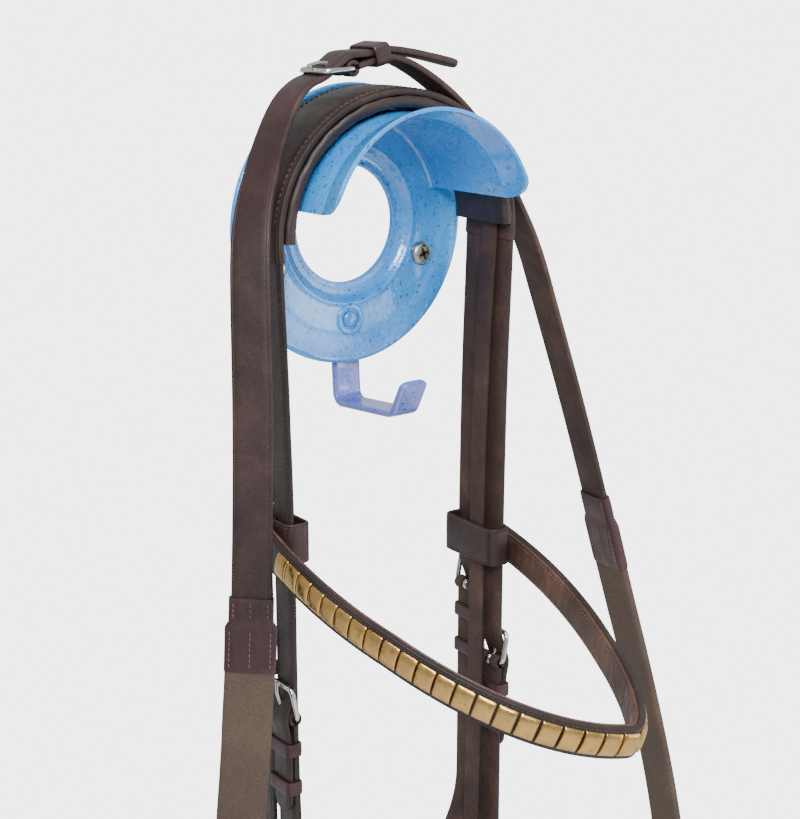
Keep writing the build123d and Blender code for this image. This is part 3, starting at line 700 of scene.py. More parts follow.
def hole_row(line, distances, height, r=1.75):
    """Punched holes, each a shallow dished near-black disc: painted shade that stands in for the hole's
    depth.
    """
    dish, k = ((1.0, 0.0), (0.8, 0.35), (0.5, 0.75), (0.2, 0.97)), 16
    for s in distances:
        p, _, _, n = line.at(s)
        up = unit(n)
        a = unit(np.cross(up, (0.3, 0.5, 0.9)))
        b = np.cross(up, a)
        verts = []
        for wide, deep in dish:
            for i in range(k):
                ang = 2 * math.pi * i / k
                around = (a * math.cos(ang) + b * math.sin(ang)) * r * wide
                verts.append(p + n * (height + 0.03) + around - up * 0.25 * deep)
        holes.add(verts, grid_faces(len(dish), k) + end_caps(len(dish), k)[1:])


def build_headpiece():
    s = Soup()
    crown = outwards(Line(hs(bend(0, HUB_Z, CROWN_R, -7, 187, 120), 0), ACROSS), (0, 0, 1))
    s.add(*swept(crown, leather_section(CROWN_W, CROWN_T, 2.6, 0.35, 0.5, 1.2)))
    stitch_both(threads, crown, 16, crown.d[-1] - 16, CROWN_W / 2 - 3.9, CROWN_T / 2, 3.0, 2.1, 0.34)
    top = [(CROWN_R, HUB_Z + 4), (CROWN_R - 0.2, HUB_Z - 6), (CROWN_R - 0.6, HUB_Z - 20), (64.6, -60),
           (63.7, -130)]
    for side, _ in SIDES:
        for y, z, tail in ((REAR_Y, THROAT_Z, 48), (CHEEK_Y, CHEEK_Z, 50)):
            line = top + [(SIDE_X + n, z + u) for n, u in billet(STRAP_T, tail)]
            L = Line(hs(dense_end(mirror(line, side)), y), ACROSS, side < 0)
            s.add(*swept(L, leather_section(STRAP_W, STRAP_T, 1.9, 0.24, 0.12), tip_scale(L, 8.0)))
            total = L.d[-1]
            hole_row(L, [total - 30 - tail - 16 * i for i in range(5)] + [total - 14], STRAP_T / 2)
            stitch_both(threads, L, 30, total - 12, STRAP_W / 2 - 1.9, STRAP_T / 2 - 0.15, 2.6, 1.8, 0.26)
    s.make("headpiece_leather", LEATHER, "headstall", "brown_leather", "headpiece")


def build_pad():
    L = outwards(Line(hs(bend(0, HUB_Z, 62.55, 0.4, 179.6, 150), 0), ACROSS), (0, 0, 1))
    half, lo, hi = 20.6, -2.75, 2.65
    edge = [(half - 3.0, hi), (half - 1.2, hi + 0.5), (half, hi - 0.9), (half + 0.2, 0.0),
            (half - 0.3, lo + 1.0), (half - 1.8, lo), (half - 6, lo - 0.1), (8, lo + 0.2)]
    outline = edge + [(0, lo)] + mirror(edge[::-1], -1) + [(-10, hi - 0.3), (0, hi - 0.4), (10, hi - 0.3)]

    def puff(d, u, v):
        """Soft waves along the padded edges."""
        side = np.clip((np.abs(u) - 15.5) / 4.0, 0, 1)
        wave = 0.16 * np.sin(d * 0.55 + np.sign(u) * 0.9) + 0.12 * np.sin(d * 0.23)
        return wave * side * np.sign(v + 1e-6)
    v, f, mi, uv = swept(L, [(u, w, 0) for u, w in smooth_profile(outline, 2)], lift=puff)
    o = mesh_object("crown_padding", v, f, ["leather", "dark_edge"], mi, uv, 50)
    settle(o, "headstall", "crown_pad")


def eye_folds(soup, place, t, offset, w, crease, towards):
    """Two tabs of leather turned round a buckle's heel bar."""
    for side in (-1, 1):
        pts = [place((n, side * offset, u)) for n, u in bend(0, 0, BAR_R + 0.3 + t * 0.375, -60, 240, 25)]
        fold = outwards(Line(pts, place.ac), towards * place.out, 0)
        soup.add(*swept(fold, leather_section(w, t * 0.72, crease, 0.1)))


def loop_line(side, way):
    """Strap end folded round a ring, above it (way 1) or below it (way -1)."""
    cx, cz = BIT_X, BIT_Z + way * (RING_R + 0.6)
    r = WIRE_R + (1.7 if way > 0 else 2.1) + STRAP_T / 2
    dbl = STRAP_T / 2 + 0.25
    around = bend(cx, cz, r, 52 * way, 52 * way - 284 * way, 23)
    up, tail = cz + way * 17.5, cz + way * 78
    return [(cx + dbl, up)] + around + [(cx - dbl, up), (cx - dbl, tail)], dbl


def build_hanger():
    down = [(SLIP_R, HUB_Z), (SLIP_R - 0.3, HUB_Z - 10), (60.5, -40), (58.0, -120), (58.0, -230),
            (56.2, -300), (56.2, -389)]
    line = down[::-1] + bend(0, HUB_Z, SLIP_R, 4, 176, 44) + mirror(down, -1)
    L = outwards(Line(hs(even(line, 3.0, 2), SLIP_Y), ACROSS), (0, 0, 1))
    s = Soup()
    s.add(*swept(L, leather_section(SLIP_W, SLIP_T)))
    stitch_both(threads, L, 4, L.d[-1] - 4, SLIP_W / 2 - 1.7, SLIP_T / 2 - 0.1, 2.6, 1.82, 0.26)
    s.make("noseband_hanger", LEATHER, "headstall", "brown_leather", "noseband_headstrap")


def build_throatlash():
    down = [(SIDE_X, THROAT_Z - 3), (SIDE_X, -235), (SIDE_X, THROAT_TURN_Z)]
    line = down + bend(0, THROAT_TURN_Z, SIDE_X, -6, -174, 29) + mirror(down, -1)[::-1]
    L = Line(hs(even(line, 3.0, 2), REAR_Y), ACROSS)
    s = Soup()
    s.add(*swept(L, leather_section(STRAP_W, STRAP_T, 1.9, 0.24, 0.1)))
    for _, name in SIDES:
        eye_folds(s, PLACES["throat_" + name], STRAP_T, STRAP_W / 4 + 1.0, STRAP_W / 2 - 2.0, 1.2, -1)
    for start, end in ((3, 40), (L.d[-1] - 40, L.d[-1] - 3)):
        stitch_both(threads, L, start, end, STRAP_W / 2 - 1.9, STRAP_T / 2 - 0.1, 2.6, 1.8, 0.26)
    s.make("throatlash", LEATHER, "headstall", "brown_leather", "throat_strap")


def build_cheekpieces():
    for side, name in SIDES:
        loop, dbl = loop_line(side, 1)
        line = [(SIDE_X, CHEEK_Z - 3), (SIDE_X, CHEEK_Z - 60), (SIDE_X, CHEEK_Z - 100)]
        line.append((BIT_X + dbl, CHEEK_Z - 112))
        L = Line(hs(dense_end(mirror(line + loop, side), 2.2, 8.0, 2), CHEEK_Y), ACROSS, side < 0)
        s = Soup()
        s.add(*swept(L, leather_section(STRAP_W, STRAP_T, 1.9, 0.24, 0.1), tip_scale(L, 7.0)))
        eye_folds(s, PLACES["cheek_" + name], STRAP_T, STRAP_W / 4 + 1.0, STRAP_W / 2 - 2.0, 1.2, -1)
        stitch_both(threads, L, 3, 168, STRAP_W / 2 - 1.9, STRAP_T / 2 - 0.1, 2.6, 1.8, 0.26)
        s.make("cheekpiece_leather_" + name, LEATHER, "headstall", "brown_leather", "cheekpiece_" + name)


# ---------------------------------------------------------------- buckles, tongues and keepers
def raise_angle(t):
    return math.asin((t / 2 + 0.3 + BAR_R) / FRAME_LEN) + math.radians(0.3)


def rounded_loop(x0, x1, y0, y1, r, k=7):
    pts = []
    corners = ((x1 - r, y1 - r), (x0 + r, y1 - r), (x0 + r, y0 + r), (x1 - r, y0 + r))
    for i, (cx, cy) in enumerate(corners):
        pts += bend(cx, cy, r, 90 * i, 90 * (i + 1), k + 1)
    return pts


def closed_ring(loop, step):
    return resample(np.array(loop + [loop[0]]), step)[:-1]


def buckle(soup, place, width, t):
    half, corner = width / 2 + 1.7, 3.4
    ra = raise_angle(t)

    def at(w, u):
        return place((u * math.sin(ra), w, u * math.cos(ra)))
    frame_bar = [at(w, u) for w, u in rounded_loop(-half, half, 0.0, FRAME_LEN, corner)]
    soup.add(*tube(closed_ring(frame_bar, 0.9), 1.34, 14, True))
    roller = [at(w, FRAME_LEN) for w in np.linspace(corner - half, half - corner, 14)]
    soup.add(*tube(roller, 1.37, 14))


def tongue(name, place, t, node):
    s = Soup()
    top = FRAME_LEN * math.sin(raise_angle(t)) + 1.7
    pts = chaikin([(1.9, 2.0), (3.1, 5.2), (top + 0.4, 11.4), (top + 1.0, 13.6), (top + 1.0, 18.8)], 3)
    rad = 1.0 + 0.12 * np.sin(np.linspace(0, math.pi, len(pts)))
    rad[-2:] = 0.8, 0.45
    s.add(*tube([place((n, 0, u)) for n, u in pts], rad, 12))
    for w, r, wire in ((0, 2.4, 0.68), (-0.62, 2.38, 0.62), (0.62, 2.38, 0.62)):
        s.add(*tube([place((n, w, u)) for n, u in bend(0, 0, r, 0, 360, 29)[:-1]], wire, 10, True))
    s.make(name, ["steel"], node, "buckle_steel", node)


def band(ring, sec, to_row, u=0.0):
    """Points and faces of a flat band whose section [(along, outwards)] follows a closed ring."""
    d = unit(np.roll(ring, -1, 0) - np.roll(ring, 1, 0))
    out = np.stack([d[:, 1], -d[:, 0]], axis=1)
    verts = [to_row((*(q + o * b), u + a)) for q, o in zip(ring, out) for a, b in sec]
    return verts, grid_faces(len(ring), len(sec), True), out


def keeper_band(soup, to_row, n0, n1, w, u, length, wall=1.2):
    """Leather loop round a doubled strap; to_row maps (out, across, along)."""
    h, b = length / 2, wall / 2
    ring = closed_ring(rounded_loop(n0 - b, n1 + b, -w / 2 - b, w / 2 + b, 1.6, 5), 1.1)
    sec = [(-h, b - 0.1), (-h + 0.5, b + 0.12), (0, b + 0.2), (h - 0.5, b + 0.12), (h, b - 0.1)]
    sec += [(h, -b), (0, -b), (-h, -b)]
    verts, faces, _ = band(ring, smooth_profile(sec, 1), to_row, u)
    soup.add(verts, faces)


def build_buckles():
    throat, cheek = ([PLACES[key + name] for _, name in SIDES] for key in ("throat_", "cheek_"))
    for name, places, w, t, node in (
            ("throatlash_buckles", throat, STRAP_W, STRAP_T, "throat_buckles"),
            ("cheekpiece_buckles", cheek, STRAP_W, STRAP_T, "cheek_buckles"),
            ("chin_strap_buckle", [PLACES["chin"]], STRAP_W, STRAP_T, "chin_buckle"),
            ("rein_centre_buckle", [PLACES["rein"]], REIN_W, REIN_T, "rein_buckle")):
        s = Soup()
        for place in places:
            buckle(s, place, w, t)
        s.make(name, ["steel"], "headstall", "buckle_steel", node)
    for _, name in SIDES:
        tongue("throatlash_tongue_" + name, PLACES["throat_" + name], STRAP_T, "throat_tongue_" + name)
        tongue("cheekpiece_tongue_" + name, PLACES["cheek_" + name], STRAP_T, "cheek_tongue_" + name)
    tongue("chin_strap_tongue", PLACES["chin"], STRAP_T, "chin_tongue")
    tongue("rein_centre_tongue", PLACES["rein"], REIN_T, "rein_tongue")


def build_keepers():
    s = Soup()
    lo, hi = -STRAP_T / 2 - 0.35, 1.5 * STRAP_T + 0.7
    for key in ("throat_left", "throat_right", "cheek_left", "cheek_right"):
        for u in (-15.5, -36.0):
            keeper_band(s, PLACES[key], lo, hi, STRAP_W + 0.8, u, 7.0)
    keeper_band(s, PLACES["chin"], lo, hi, STRAP_W + 0.8, -15.5, 7.0)
    s.make("keepers", ["maroon"], "headstall", "maroon_leather", "strap_keepers")
    s = Soup()
    lo, hi = -REIN_T / 2 - 0.35, 1.5 * REIN_T + 0.7
    keeper_band(s, PLACES["rein"], lo, hi, REIN_W + 0.8, -16.5, 8.6, 1.3)
    s.make("rein_centre_keeper", ["maroon"], "headstall", "maroon_leather", "rein_keeper")
    s = Soup()
    thick = STRAP_T + 0.5
    for side, _ in SIDES:
        for up, w in ((66, STRAP_W), (104, STRAP_W), (-66, REIN_W), (-97, REIN_W)):
            keeper_band(s, side_place(side, BIT_X, CHEEK_Y, BIT_Z + up), -thick, thick, w + 0.8, 0.0, 6.5)
    s.make("ring_end_bands", ["maroon"], "headstall", "maroon_leather", "ring_end_keepers")


def build_studs():
    s = Soup()
    dome = [(0.05, 1.25), (1.8, 1.15), (3.2, 0.75), (3.65, 0.25), (3.3, 0.0), (0.05, 0.0)]
    for side, _ in SIDES:
        for up in (86, -86):
            c = rot_z((side * (BIT_X - STRAP_T - 0.3), CHEEK_Y, BIT_Z + up))
            s.add(*domed(dome, c, 28, turn_z((-side, 0, 0)), (0, 0, 1)))
    s.make("billet_studs", ["brass"], "headstall", "brass", "hook_studs")


# ---------------------------------------------------------------- noseband
def nose_points(xy):
    return rot_z(np.array([placed(x, y, 0) for x, y in xy]))


NOSE_UP = turn_z(tilted(0, 0, 1))


def build_nose_strap():
    half = bezier((52.2, 8), (52.2, -90), (48, -165), (0, -165), 40)
    pts = nose_points([(x, y) for x, y in half] + [(-x, y) for x, y in half[::-1][1:]])
    L = outwards(Line(resample(pts, 3.0), NOSE_UP), turn_z((1, 0, 0)), 0)
    h, t = 14.0, 2.5
    face = [(h - 0.2, -0.6), (h, 0.6), (h - 0.6, t - 0.5), (h - 2.0, t - 0.1), (h - 3.1, t - 0.55),
            (h - 4.4, t), (h - 9, t + 0.25), (0, t + 0.35)]
    face += mirror(face[::-1][1:], -1)
    under = [(-h + 0.8, -1.7), (-h + 3, -t), (-h + 7, -t - 0.15), (0, -t + 0.1)]
    under += mirror(under[::-1][1:], -1)
    sec = [(u, v, 0) for u, v in smooth_profile(face, 1, False)] + [(u, v, 1) for u, v in under]
    s = Soup()
    s.add(*swept(L, sec))
    o = s.make("noseband", ["leather", "lining"], "headstall", "brown_leather", "nose_strap")
    stitch_both(threads, L, 3, L.d[-1] - 3, h - 3.1, t - 0.42, 2.8, 1.95, 0.3)
    stitch_both(threads, L, 3, L.d[-1] - 3, h - 1.4, t - 0.22, 2.8, 1.95, 0.24)


def build_chin_straps():
    back = turn_z((0, 1, 0))
    turn = [(52.2, 8.0), (51.6, 13.0), (49, 17.4), (44, 20.0)]
    line = turn + [(-18 + u, 20 + n) for n, u in billet(STRAP_T, 24)]
    L = outwards(Line(nose_points(dense_end(line, 2.2, 8.0, 2)), NOSE_UP), back)
    s = Soup()
    s.add(*swept(L, leather_section(STRAP_W, STRAP_T), tip_scale(L, 7.0)))
    stitch_both(threads, L, 4, L.d[-1] - 14, STRAP_W / 2 - 1.9, STRAP_T / 2 - 0.1, 2.6, 1.82, 0.26)
    s.make("chin_strap_billet", LEATHER, "headstall", "brown_leather", "chin_strap_right")
    hole_row(L, [L.d[-1] - 44, L.d[-1] - 58], STRAP_T / 2)
    L = outwards(Line(nose_points(even(mirror(turn, -1) + [(-21.5, 20.0)], 2.2, 2)), NOSE_UP), back)
    s = Soup()
    s.add(*swept(L, leather_section(STRAP_W, STRAP_T, 1.9, 0.2)))
    eye_folds(s, PLACES["chin"], STRAP_T, 4.9, 6.0, 1.2, 1)
    s.make("chin_strap_chape", LEATHER, "headstall", "brown_leather", "chin_strap_left")


# ---------------------------------------------------------------- browband
BROW_UP = turn_z((0.0, -math.sin(BROW_A), math.cos(BROW_A)))


def brow_rise(x):
    """The left end of the browband sits higher on its straps."""
    return BROW_RISE * (BROW_END - np.clip(x, -BROW_END, BROW_END)) / (2 * BROW_END)


def brow_line(n=90):
    right = bezier((70.4, 0), (84, -86), (34, -172), (18, -172), n)
    left = bezier((18, -172), (-48, -172), (-78, -84), (-70.4, 0), n)
    x, y = np.concatenate([[(70.4, 9)], right, left[1:], [(-70.4, 9)]]).T
    z = BROW_Z + brow_rise(x) + y * math.sin(BROW_A)
    pts = rot_z(np.stack([x, BROW_Y + y * math.cos(BROW_A), z], axis=1))
    return outwards(Line(resample(pts, 1.6), BROW_UP), (0, -1, 0))


def build_brow_strap(L):
    s = Soup()
    s.add(*swept(L, [(u, v + 1.6, m) for u, v, m in leather_section(17.0, 3.2, 1.0, 0.12, 0.0, 1.0)]))
    s.make("browband_leather", LEATHER, "browband", "brown_leather", "browband_strap")
    h = 8.2
    half = [(h - 0.4, -0.1), (h, -0.9), (h - 0.6, -1.8), (h - 1.9, -1.9), (h - 3, -2.25), (5, -2.3),
            (2.5, -2.3)]
    outline = half + [(0, -2.3)] + mirror(half[::-1], -1)
    phase = np.random.default_rng(7).uniform(0, 6.28, 4)

    def crease(d, u, v):
        """Fine wrinkles of the lining's soft leather."""
        k = 0.2 * np.sin(d * 1.1 + phase[0] + 0.25 * u + 1.3 * np.sin(d * 0.13))
        k = k + 0.16 * np.sin(d * 2.3 + phase[1] - 0.4 * u + np.sin(d * 0.31))
        return np.where(v < -2.2, k * (1 - (u / 8.5) ** 2), 0)
    s = Soup()
    s.add(*swept(L, [(u, v, 0) for u, v in outline], lift=crease))
    s.make("browband_backing", ["lining", "edge"], "browband", "lining_leather", "browband_lining")
    stitch_both(brow_threads, L, 4, L.d[-1] - 4, 7.2, 3.14, 2.2, 1.5, 0.22)
    stitch_both(brow_threads, L, 4, L.d[-1] - 4, 6.3, -2.16, 2.4, 1.7, 0.27, 1)


def build_clinchers(L):
    """Domed square brass caps along the browband's face."""
    s = Soup()
    count = int((L.d[-1] - 54) / CLINCH_PITCH)
    start = (L.d[-1] - (count - 1) * CLINCH_PITCH) / 2
    half_w, half_l, rise = 6.1, 4.5, 2.0
    rows = [(u, {1.0: 0.0, 0.96: 0.62, 0.86: 0.92}.get(abs(u), 1.0))
            for u in (-1.0, -0.96, -0.86, -0.5, 0.0, 0.5, 0.86, 0.96, 1.0)]
    cols = np.sin(np.radians(np.linspace(-90, 90, 15)))
    faces = grid_faces(len(rows), len(cols), False, False) + end_caps(len(rows), len(cols))
    for i in range(count):
        p, t, a, n = L.at(start + CLINCH_PITCH * i)
        verts = []
        for u, edge in rows:
            for w in cols:
                arch = math.sqrt(max(1 - abs(w) ** 2.6, 0.0))
                aside = half_w * w * (0.96 + 0.04 * edge)
                verts.append(p + t * (half_l * u) + a * aside + n * (3.28 + rise * arch * (0.5 + 0.5 * edge)))
        s.add(verts, faces)
    s.make("browband_brass_clinchers", ["brass"], "browband", "brass", "browband_clinchers", 50)


def build_brow_loops():
    """Flat loops at both ends, through which the cheek straps and the throatlash pass."""
    s = Soup()
    H, w = 10.0, 0.93
    sec = [(-H + 0.5, w), (-H + 1.5, w - 0.2), (-H + 2.4, w), (0, w + 0.05), (H - 2.4, w),
           (H - 1.5, w - 0.2), (H - 0.5, w), (H, w - 0.6), (H, -w + 0.5), (H - 0.5, -w), (-H + 0.5, -w),
           (-H, -w + 0.5), (-H, w - 0.6)]
    ring = closed_ring(rounded_loop(-5.85, 5.85, -20.25, 20.25, 3.4, 6), 1.3)
    mid = len(ring) // 2
    for side, _ in SIDES:
        z = BROW_Z + brow_rise(side * BROW_END)
        place = Place((side * BROW_END, 0, z), (1, 0, 0), (0, 1, 0), (0, 0, 1))
        verts, faces, out = band(ring, sec, place)
        s.add(verts, faces, [0 if j < 6 else 1 for j in range(len(sec))] * len(ring))
        pts = [place((q[0], q[1], 0.0)) for q in np.concatenate([ring, ring[:1]])]
        E = outwards(Line(pts, (0, 0, 1)), turn_z((out[mid][0], out[mid][1], 0)), mid)
        stitch_both(brow_threads, E, 1, E.d[-1] - 1, 8.4, w - 0.1, 2.4, 1.6, 0.22)
    s.make("browband_end_loops", ["rein", "edge"], "browband", "brown_leather", "browband_loops")


def build_browband():
    L = brow_line()
    build_brow_strap(L)
    build_clinchers(L)
    build_brow_loops()
    brow_threads.make("browband_stitching", ["thread", "pale_thread"], "browband", "brown_leather")


# ---------------------------------------------------------------- bit
MOUTH_SLOPE = math.radians(8.0)


def bit_matrix(side):
    """Mouthpiece's own frame to the row frame, mm."""
    m = Matrix.Translation((0, FRONT, 0)) @ Matrix.Rotation(YAW, 4, "Z")
    m = m @ Matrix.Translation((side * BIT_X, CHEEK_Y, BIT_Z)) @ Matrix.Rotation(math.radians(-45), 4, "X")
    m = m @ Matrix.Translation((0, 0, -RING_R))
    if side > 0:
        m = m @ Matrix.Rotation(math.pi, 4, "Z")
    return m @ Matrix.Rotation(MOUTH_SLOPE, 4, "Y")


def build_bit_ring(side, name):
    place = side_place(1, side * BIT_X, CHEEK_Y, BIT_Z)
    s = Soup()
    s.add(*tube([place((0, y, z)) for y, z in bend(0, 0, RING_R, 0, 360, 145)[:-1]], 3.98, 24, True))
    s.make("loose_ring_" + name, ["bit"], "bit_ring_" + name, "bit_steel", "bit_ring_" + name)


def build_mouthpiece(side, name):
    m = bit_matrix(side)
    s = Soup()

    def add(verts, faces):
        s.add([np.array(m @ Vector([float(q) for q in v])) for v in verts], faces)
    reach = BIT_X / math.cos(MOUTH_SLOPE)
    near, far = 6.6, reach - 9.6
    x = np.linspace(near, far, 34)
    f = (x - near) / (far - near)
    add(*tube([(q, 0, 0) for q in x], 7.25 - 2.75 * f ** 0.9 - 0.35 * np.exp(-((f - 0.12) / 0.1) ** 2), 36))
    half = [(5.05, -6.4), (5.6, -6.5), (7.4, -6.4), (8.15, -5.2)]
    eye = half + [(8.2, 0)] + [(r, -h) for r, h in half[::-1]] + [(5.0, 0)]
    add(*lathe(smooth_profile(eye, 2), (0, 0, 0.18), (0, 1, 0), (1, 0, 0), 56))
    link = bend(0, 0, 6.8, 0, 357.5, 144)[::3]
    middle = reach - 3.4
    add(*tube([(middle + p, 0, q) if side > 0 else (middle + p, q, 0) for p, q in link], 2.28, 18, True))
    neck = [(far - 5, 0, 0), (far - 1.0, 0, 0), (far + 1.6, 0, 0), (far + 2.4, 0, 0)]
    add(*tube(neck, [4.6, 4.3, 3.3, 2.6], 30))
    s.make("mouth_bar_" + name, ["bit"], "mouthpiece_" + name, "bit_steel", "mouthpiece_" + name, 45)


def build_bit():
    for side, name in SIDES:
        build_bit_ring(side, name)
        build_mouthpiece(side, name)


# ---------------------------------------------------------------- reins
RIGHT_FALL = [(92, 6), (104, -27), (114.5, -56), (124.5, -84), (134, -112), (143, -140)]
RIGHT_GRIP = [
    (157, -184, 0), (166.5, -213, 0), (176.5, -243, 0), (191, -290, 0), (204, -340, -1),
    (213, -390, -2), (219, -440, -3), (222, -490, -4), (222, -540, -5), (219, -590, -6),
    (212, -640, -7), (201, -685, -8), (184, -722, -9), (160, -743, -10), (133, -742, -10),
    (111, -721, -10), (97, -688, -10), (87, -650, -10), (81.5, -628, -10), (77.4, -613, -10),
]
LEFT_FALL = [
    ((-55.4, -31.6, 81.8), 4), ((-66.9, -34, 60.3), 14), ((-76.4, -37.0, 35.9), 27),
    ((-81.4, -41, 18.7), 36), ((-83.6, -44.0, -4.6), 42), ((-86.0, -48.0, -51.2), 46),
    ((-89.1, -51.1, -98.8), 48), ((-92.8, -53.8, -143.8), 50),
]
LEFT_GRIP = [
    ((-95.0, -54.4, -181.0), 52), ((-96.4, -53.4, -203.0), 52), ((-96.8, -52.2, -221.0), 52),
    ((-98.8, -48.6, -262.4), 52), ((-101.5, -45, -310), 50), ((-104, -41, -360), 44),
    ((-109, -39, -410), 36), ((-115, -37, -460), 27), ((-122, -36, -510), 18),
    ((-130, -35.4, -560), 10), ((-138, -34.9, -610), 4), ((-145, -34.6, -660), 0),
    ((-150, -34.3, -705), -3), ((-149, -34.4, -745), -3), ((-138, -34.9, -778), -3),
    ((-117, -36, -798), -3), ((-93, -37.2, -790), -3), ((-77, -38, -762), -3),
    ((-70, -38.4, -725), -3), ((-67.6, -38.6, -690), -3), ((-66.8, -38.7, -655), -3),
    ((-66.6, -38.8, -632), -3),
]


def facing(degrees):
    a = math.radians(degrees)
    return (math.sin(a), -math.cos(a), 0)


def rein_local(line):
    c, s = math.cos(REIN_A), math.sin(REIN_A)
    return [(REIN_HEEL[0] + n * c - u * s, REIN_HEEL[1] + n * s + u * c) for n, u in line]


def turning(stations, step):
    """Line whose across direction follows the stations."""
    both = chaikin([(*p, *w) for p, w in stations], 3)
    d = lengths(both[:, :3])
    q = sampled(np.linspace(0, d[-1], max(int(d[-1] / step), 3) + 1), d, both)
    return Line(q[:, :3], unit(q[:, 3:]))


def right_station(x, z, y=0.0):
    return (rot_z((x, y, z)), ACROSS)


def build_right_top():
    """Right half: buckle chape, over the headpiece, free fall."""
    line = rein_local([(0, -3), (0, -21)])
    over = ((83, 81.6), (75, 78.6), (66, 76.0), (57, 74.2), (48, 73.2), (38, 72.9), (28, 73.4), (19, 74.9),
            (12, 77.2))
    for a, r in over:
        line += bend(0, HUB_Z, r, a, a, 1)
    line += RIGHT_FALL + [(146, -149)]
    L = outwards(Line(hs(even(line, 2.6, 2), 0), ACROSS), (1, 0, 1))
    s = Soup()
    s.add(*swept(L, leather_section(REIN_W, REIN_T, 1.5, 0.16, 0.1, 1.0)))
    eye_folds(s, PLACES["rein"], REIN_T, 5.6, 7.2, 1.3, 1)
    s.make("right_rein", REIN_LEATHER, "headstall", "brown_leather", "rein_right_top")
    stitch_both(threads, L, 3, 26, 7.6, REIN_T / 2 - 0.1, 2.4, 1.7, 0.26)


def build_left_top():
    """Left half: billet through the buckle, then twisting free fall."""
    rest = REIN_T + 0.35
    lift = BAR_R + 0.3 + REIN_T * 0.75 + 0.35 + REIN_T / 2
    near = rein_local([(rest, -23), (rest, -12), (lift, -1.6), (lift, 1.6), (0, 15), (0, 24)])
    stations = [(p, -ACROSS) for p in hs([(43.5, 96.5), (36, 99.0)] + near, 0)]
    stations += [(p, facing(a)) for p, a in LEFT_FALL + [((-93.4, -54.0, -153.0), 50)]]
    L = outwards(turning(stations, 2.6), (-1, -0.6, 0.3))
    s = Soup()
    s.add(*swept(L, leather_section(REIN_W, REIN_T, 1.5, 0.16, 0.1, 1.0), tip_scale(L, 10.0, True)))
    s.make("left_rein", REIN_LEATHER, "headstall", "brown_leather", "rein_left_top")
    hole_row(L, [12.0, 92.0, 108.0], REIN_T / 2)


def sleeve(soup, S, near):
    """Stitched leather sleeve that steps down from the grip's end to the strap."""
    end, w = S.d[-1], GRIP_W + 0.6
    f = S.d / end if near else 1 - S.d / end
    step = 0.86 + 0.14 / (1 + np.exp(-(f - 0.36) * 90))
    taper = 0.9 + 0.1 * np.minimum(np.minimum(S.d, end - S.d) / 3.0, 1)

    def folds(d, u, v):
        return 0.22 * np.sin(u * 1.15 + 0.5) * np.sin(d * 0.16 + 0.7) * np.sign(v) * (np.abs(u) < 9)
    soup.add(*swept(S, round_section(w, SLEEVE_T, 52, 4.6), np.stack([step, step * taper], axis=1), folds))
    cut = end * (0.38 if near else 0.62)
    wide, slim = ((cut, end), (0, cut)) if near else ((0, cut), (cut, end))
    for q in (-1, 0, 1):
        for face in (SLEEVE_T / 2, -SLEEVE_T / 2):
            proud = math.copysign(0.02, face)
            for (a, b), inset, high in ((wide, 2.6, face), (slim, 4.2, face * 0.86)):
                stitch(threads, S, a + 2, b - 2, q * (w / 2 - inset), high + proud, 2.6, 1.9, 0.3, 1)


def build_grips():
    right = [right_station(*RIGHT_FALL[-1])] + [right_station(*p) for p in RIGHT_GRIP]
    left = [(p, facing(a)) for p, a in LEFT_FALL[-1:] + LEFT_GRIP]
    for name, st, side_out in (("right", right, (1, 0, 0.4)), ("left", left, (-1, -0.8, 0.2))):
        L = outwards(turning(st, 2.4), side_out, 10)
        gaps = np.diff(lengths(np.array([p for p, _ in st])))
        total, first, last = L.d[-1], gaps[0], gaps[-1] + gaps[-2]
        s = Soup()
        grip = L.part((L.d > first - 2) & (L.d < total - last + 2))
        s.add(*swept(grip, round_section(GRIP_W, GRIP_T, 36, 4.2), pitch=1.0))
        s.make("rein_rubber_" + name, ["rubber", "rubber"], "headstall", "grip_rubber",
               "rein_%s_grip" % name, 60)
        s = Soup()
        for lo, hi in ((0.0, first), (total - last, total)):
            sleeve(s, L.part((L.d >= lo - 0.5) & (L.d <= hi + 0.5)), lo == 0.0)
        s.make("rein_leather_sleeves_" + name, ["maroon", "maroon"], "headstall", "maroon_leather",
               "rein_%s_sleeves" % name)


def build_rein_ends():
    """Rein ends, folded round the rings."""
    for side, name in SIDES:
        loop, dbl = loop_line(side, -1)
        if side > 0:
            start = [(78.6, -619), (77.2, -612), (70.5, -580), (BIT_X + dbl + 1.2, -556)]
        else:
            start = [(66.6, -640), (66.5, -632), (65.4, -600), (BIT_X + dbl + 0.6, -570)]
        line = mirror(start + [(BIT_X + dbl, BIT_Z - 104)] + loop, side)
        L = outwards(Line(hs(dense_end(line, 2.2, 8.0, 2), CHEEK_Y), ACROSS), turn_z((side, 0, 0)), 5)
        s = Soup()
        s.add(*swept(L, leather_section(REIN_W, STRAP_T, 1.6, 0.2, 0.1), tip_scale(L, 7.0)))
        s.make("rein_billet_" + name, REIN_LEATHER, "headstall", "brown_leather", "rein_%s_end" % name)


for build in (build_plate, build_arch, build_hook, build_fixings, build_headpiece, build_pad, build_hanger,
              build_throatlash, build_cheekpieces, build_buckles, build_keepers, build_studs,
              build_nose_strap, build_chin_straps, build_browband, build_bit, build_right_top,
              build_left_top, build_grips, build_rein_ends):
    build()
threads.make("stitching", ["thread", "pale_thread"], "headstall", "brown_leather")
# Near-black hole discs: painted shade for the punched holes.
holes.make("punched_holes", ["hole"], "headstall", "brown_leather")


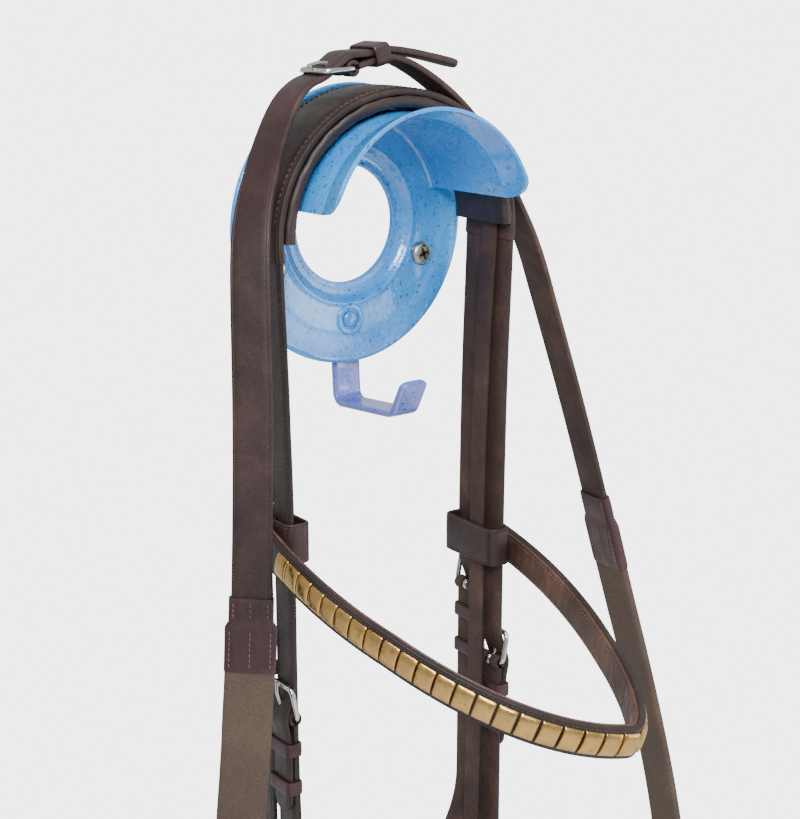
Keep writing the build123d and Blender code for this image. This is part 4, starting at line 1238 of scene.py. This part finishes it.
# ---------------------------------------------------------------- floor, light, camera
def build_floor():
    size, drop, glow = 400, 0.012, 4.5
    m = bpy.data.materials.new("studio_floor")
    m.use_nodes = True
    nt = m.node_tree
    b = nt.nodes["Principled BSDF"]
    b.inputs["Base Color"].default_value = (0.86, 0.86, 0.86, 1)
    b.inputs["Roughness"].default_value = 0.9
    em = nt.nodes.new("ShaderNodeEmission")
    em.inputs["Strength"].default_value = glow
    seen = nt.nodes.new("ShaderNodeLightPath").outputs["Is Camera Ray"]
    lit = mixed(nt, seen, b.outputs[0], em.outputs[0])
    behind = nt.nodes.new("ShaderNodeNewGeometry").outputs["Backfacing"]
    clear = nt.nodes.new("ShaderNodeBsdfTransparent").outputs[0]
    nt.links.new(mixed(nt, behind, lit, clear), nt.nodes["Material Output"].inputs[0])
    me = bpy.data.meshes.new("studio_floor")
    z = CAD_BOX[0][2] - drop
    corners = [(-size, -size, z), (size, -size, z), (size, size, z), (-size, size, z)]
    me.from_pydata(corners, [], [(0, 1, 2, 3)])
    me.materials.append(m)
    o = bpy.data.objects.new("studio_floor", me)
    bpy.context.scene.collection.objects.link(o)


def mixed(nt, fac, a, b):
    node = nt.nodes.new("ShaderNodeMixShader")
    for socket, source in zip(node.inputs, (fac, a, b)):
        nt.links.new(source, socket)
    return node.outputs[0]


def area(name, loc, target, energy, size, size_y=None):
    d = bpy.data.lights.new(name, "AREA")
    d.energy = energy
    d.size = size
    if size_y:
        d.shape = "RECTANGLE"
        d.size_y = size_y
    o = bpy.data.objects.new(name, d)
    o.location = loc
    o.rotation_euler = (Vector(target) - Vector(loc)).to_track_quat("-Z", "Y").to_euler()
    bpy.context.scene.collection.objects.link(o)


def build_world():
    w = bpy.data.worlds.new("studio")
    w.use_nodes = True
    nt = w.node_tree
    bg = nt.nodes["Background"]
    seen = nt.nodes.new("ShaderNodeBackground")
    for node, strength in ((bg, 0.8), (seen, 4.5)):
        node.inputs["Color"].default_value = (1, 1, 1, 1)
        node.inputs["Strength"].default_value = strength
    ray = nt.nodes.new("ShaderNodeLightPath").outputs["Is Camera Ray"]
    nt.links.new(mixed(nt, ray, bg.outputs[0], seen.outputs[0]), nt.nodes["World Output"].inputs[0])
    bpy.context.scene.world = w


def build_camera():
    turn, down = 0.658, 0.244
    fw = Vector((math.sin(turn) * math.cos(down), math.cos(turn) * math.cos(down), -math.sin(down)))
    right = Vector((math.cos(turn), -math.sin(turn), 0))
    cam = bpy.data.cameras.new("camera")
    cam.lens = 74.7
    cam.sensor_width = 36
    cam.clip_start = 0.02
    o = bpy.data.objects.new("camera", cam)
    m = Matrix((right, right.cross(fw), -fw)).transposed().to_4x4()
    m.translation = Vector((-0.4967, -0.6900, 0.1337))
    o.matrix_world = m
    bpy.context.scene.collection.objects.link(o)
    bpy.context.scene.camera = o


build_floor()
build_world()
area("key", (-0.75, -1.15, 0.75), (0, 0, -0.1), 30, 0.45)
area("fill", (1.3, -1.0, 0.1), (0, 0, -0.2), 11, 1.0)
area("top", (-0.25, -0.5, 1.3), (0, 0, 0), 20, 0.5)
area("glint", (0.50, -0.80, -0.26), (-0.03, 0, -0.03), 0.5, 0.10, 0.16)
build_camera()
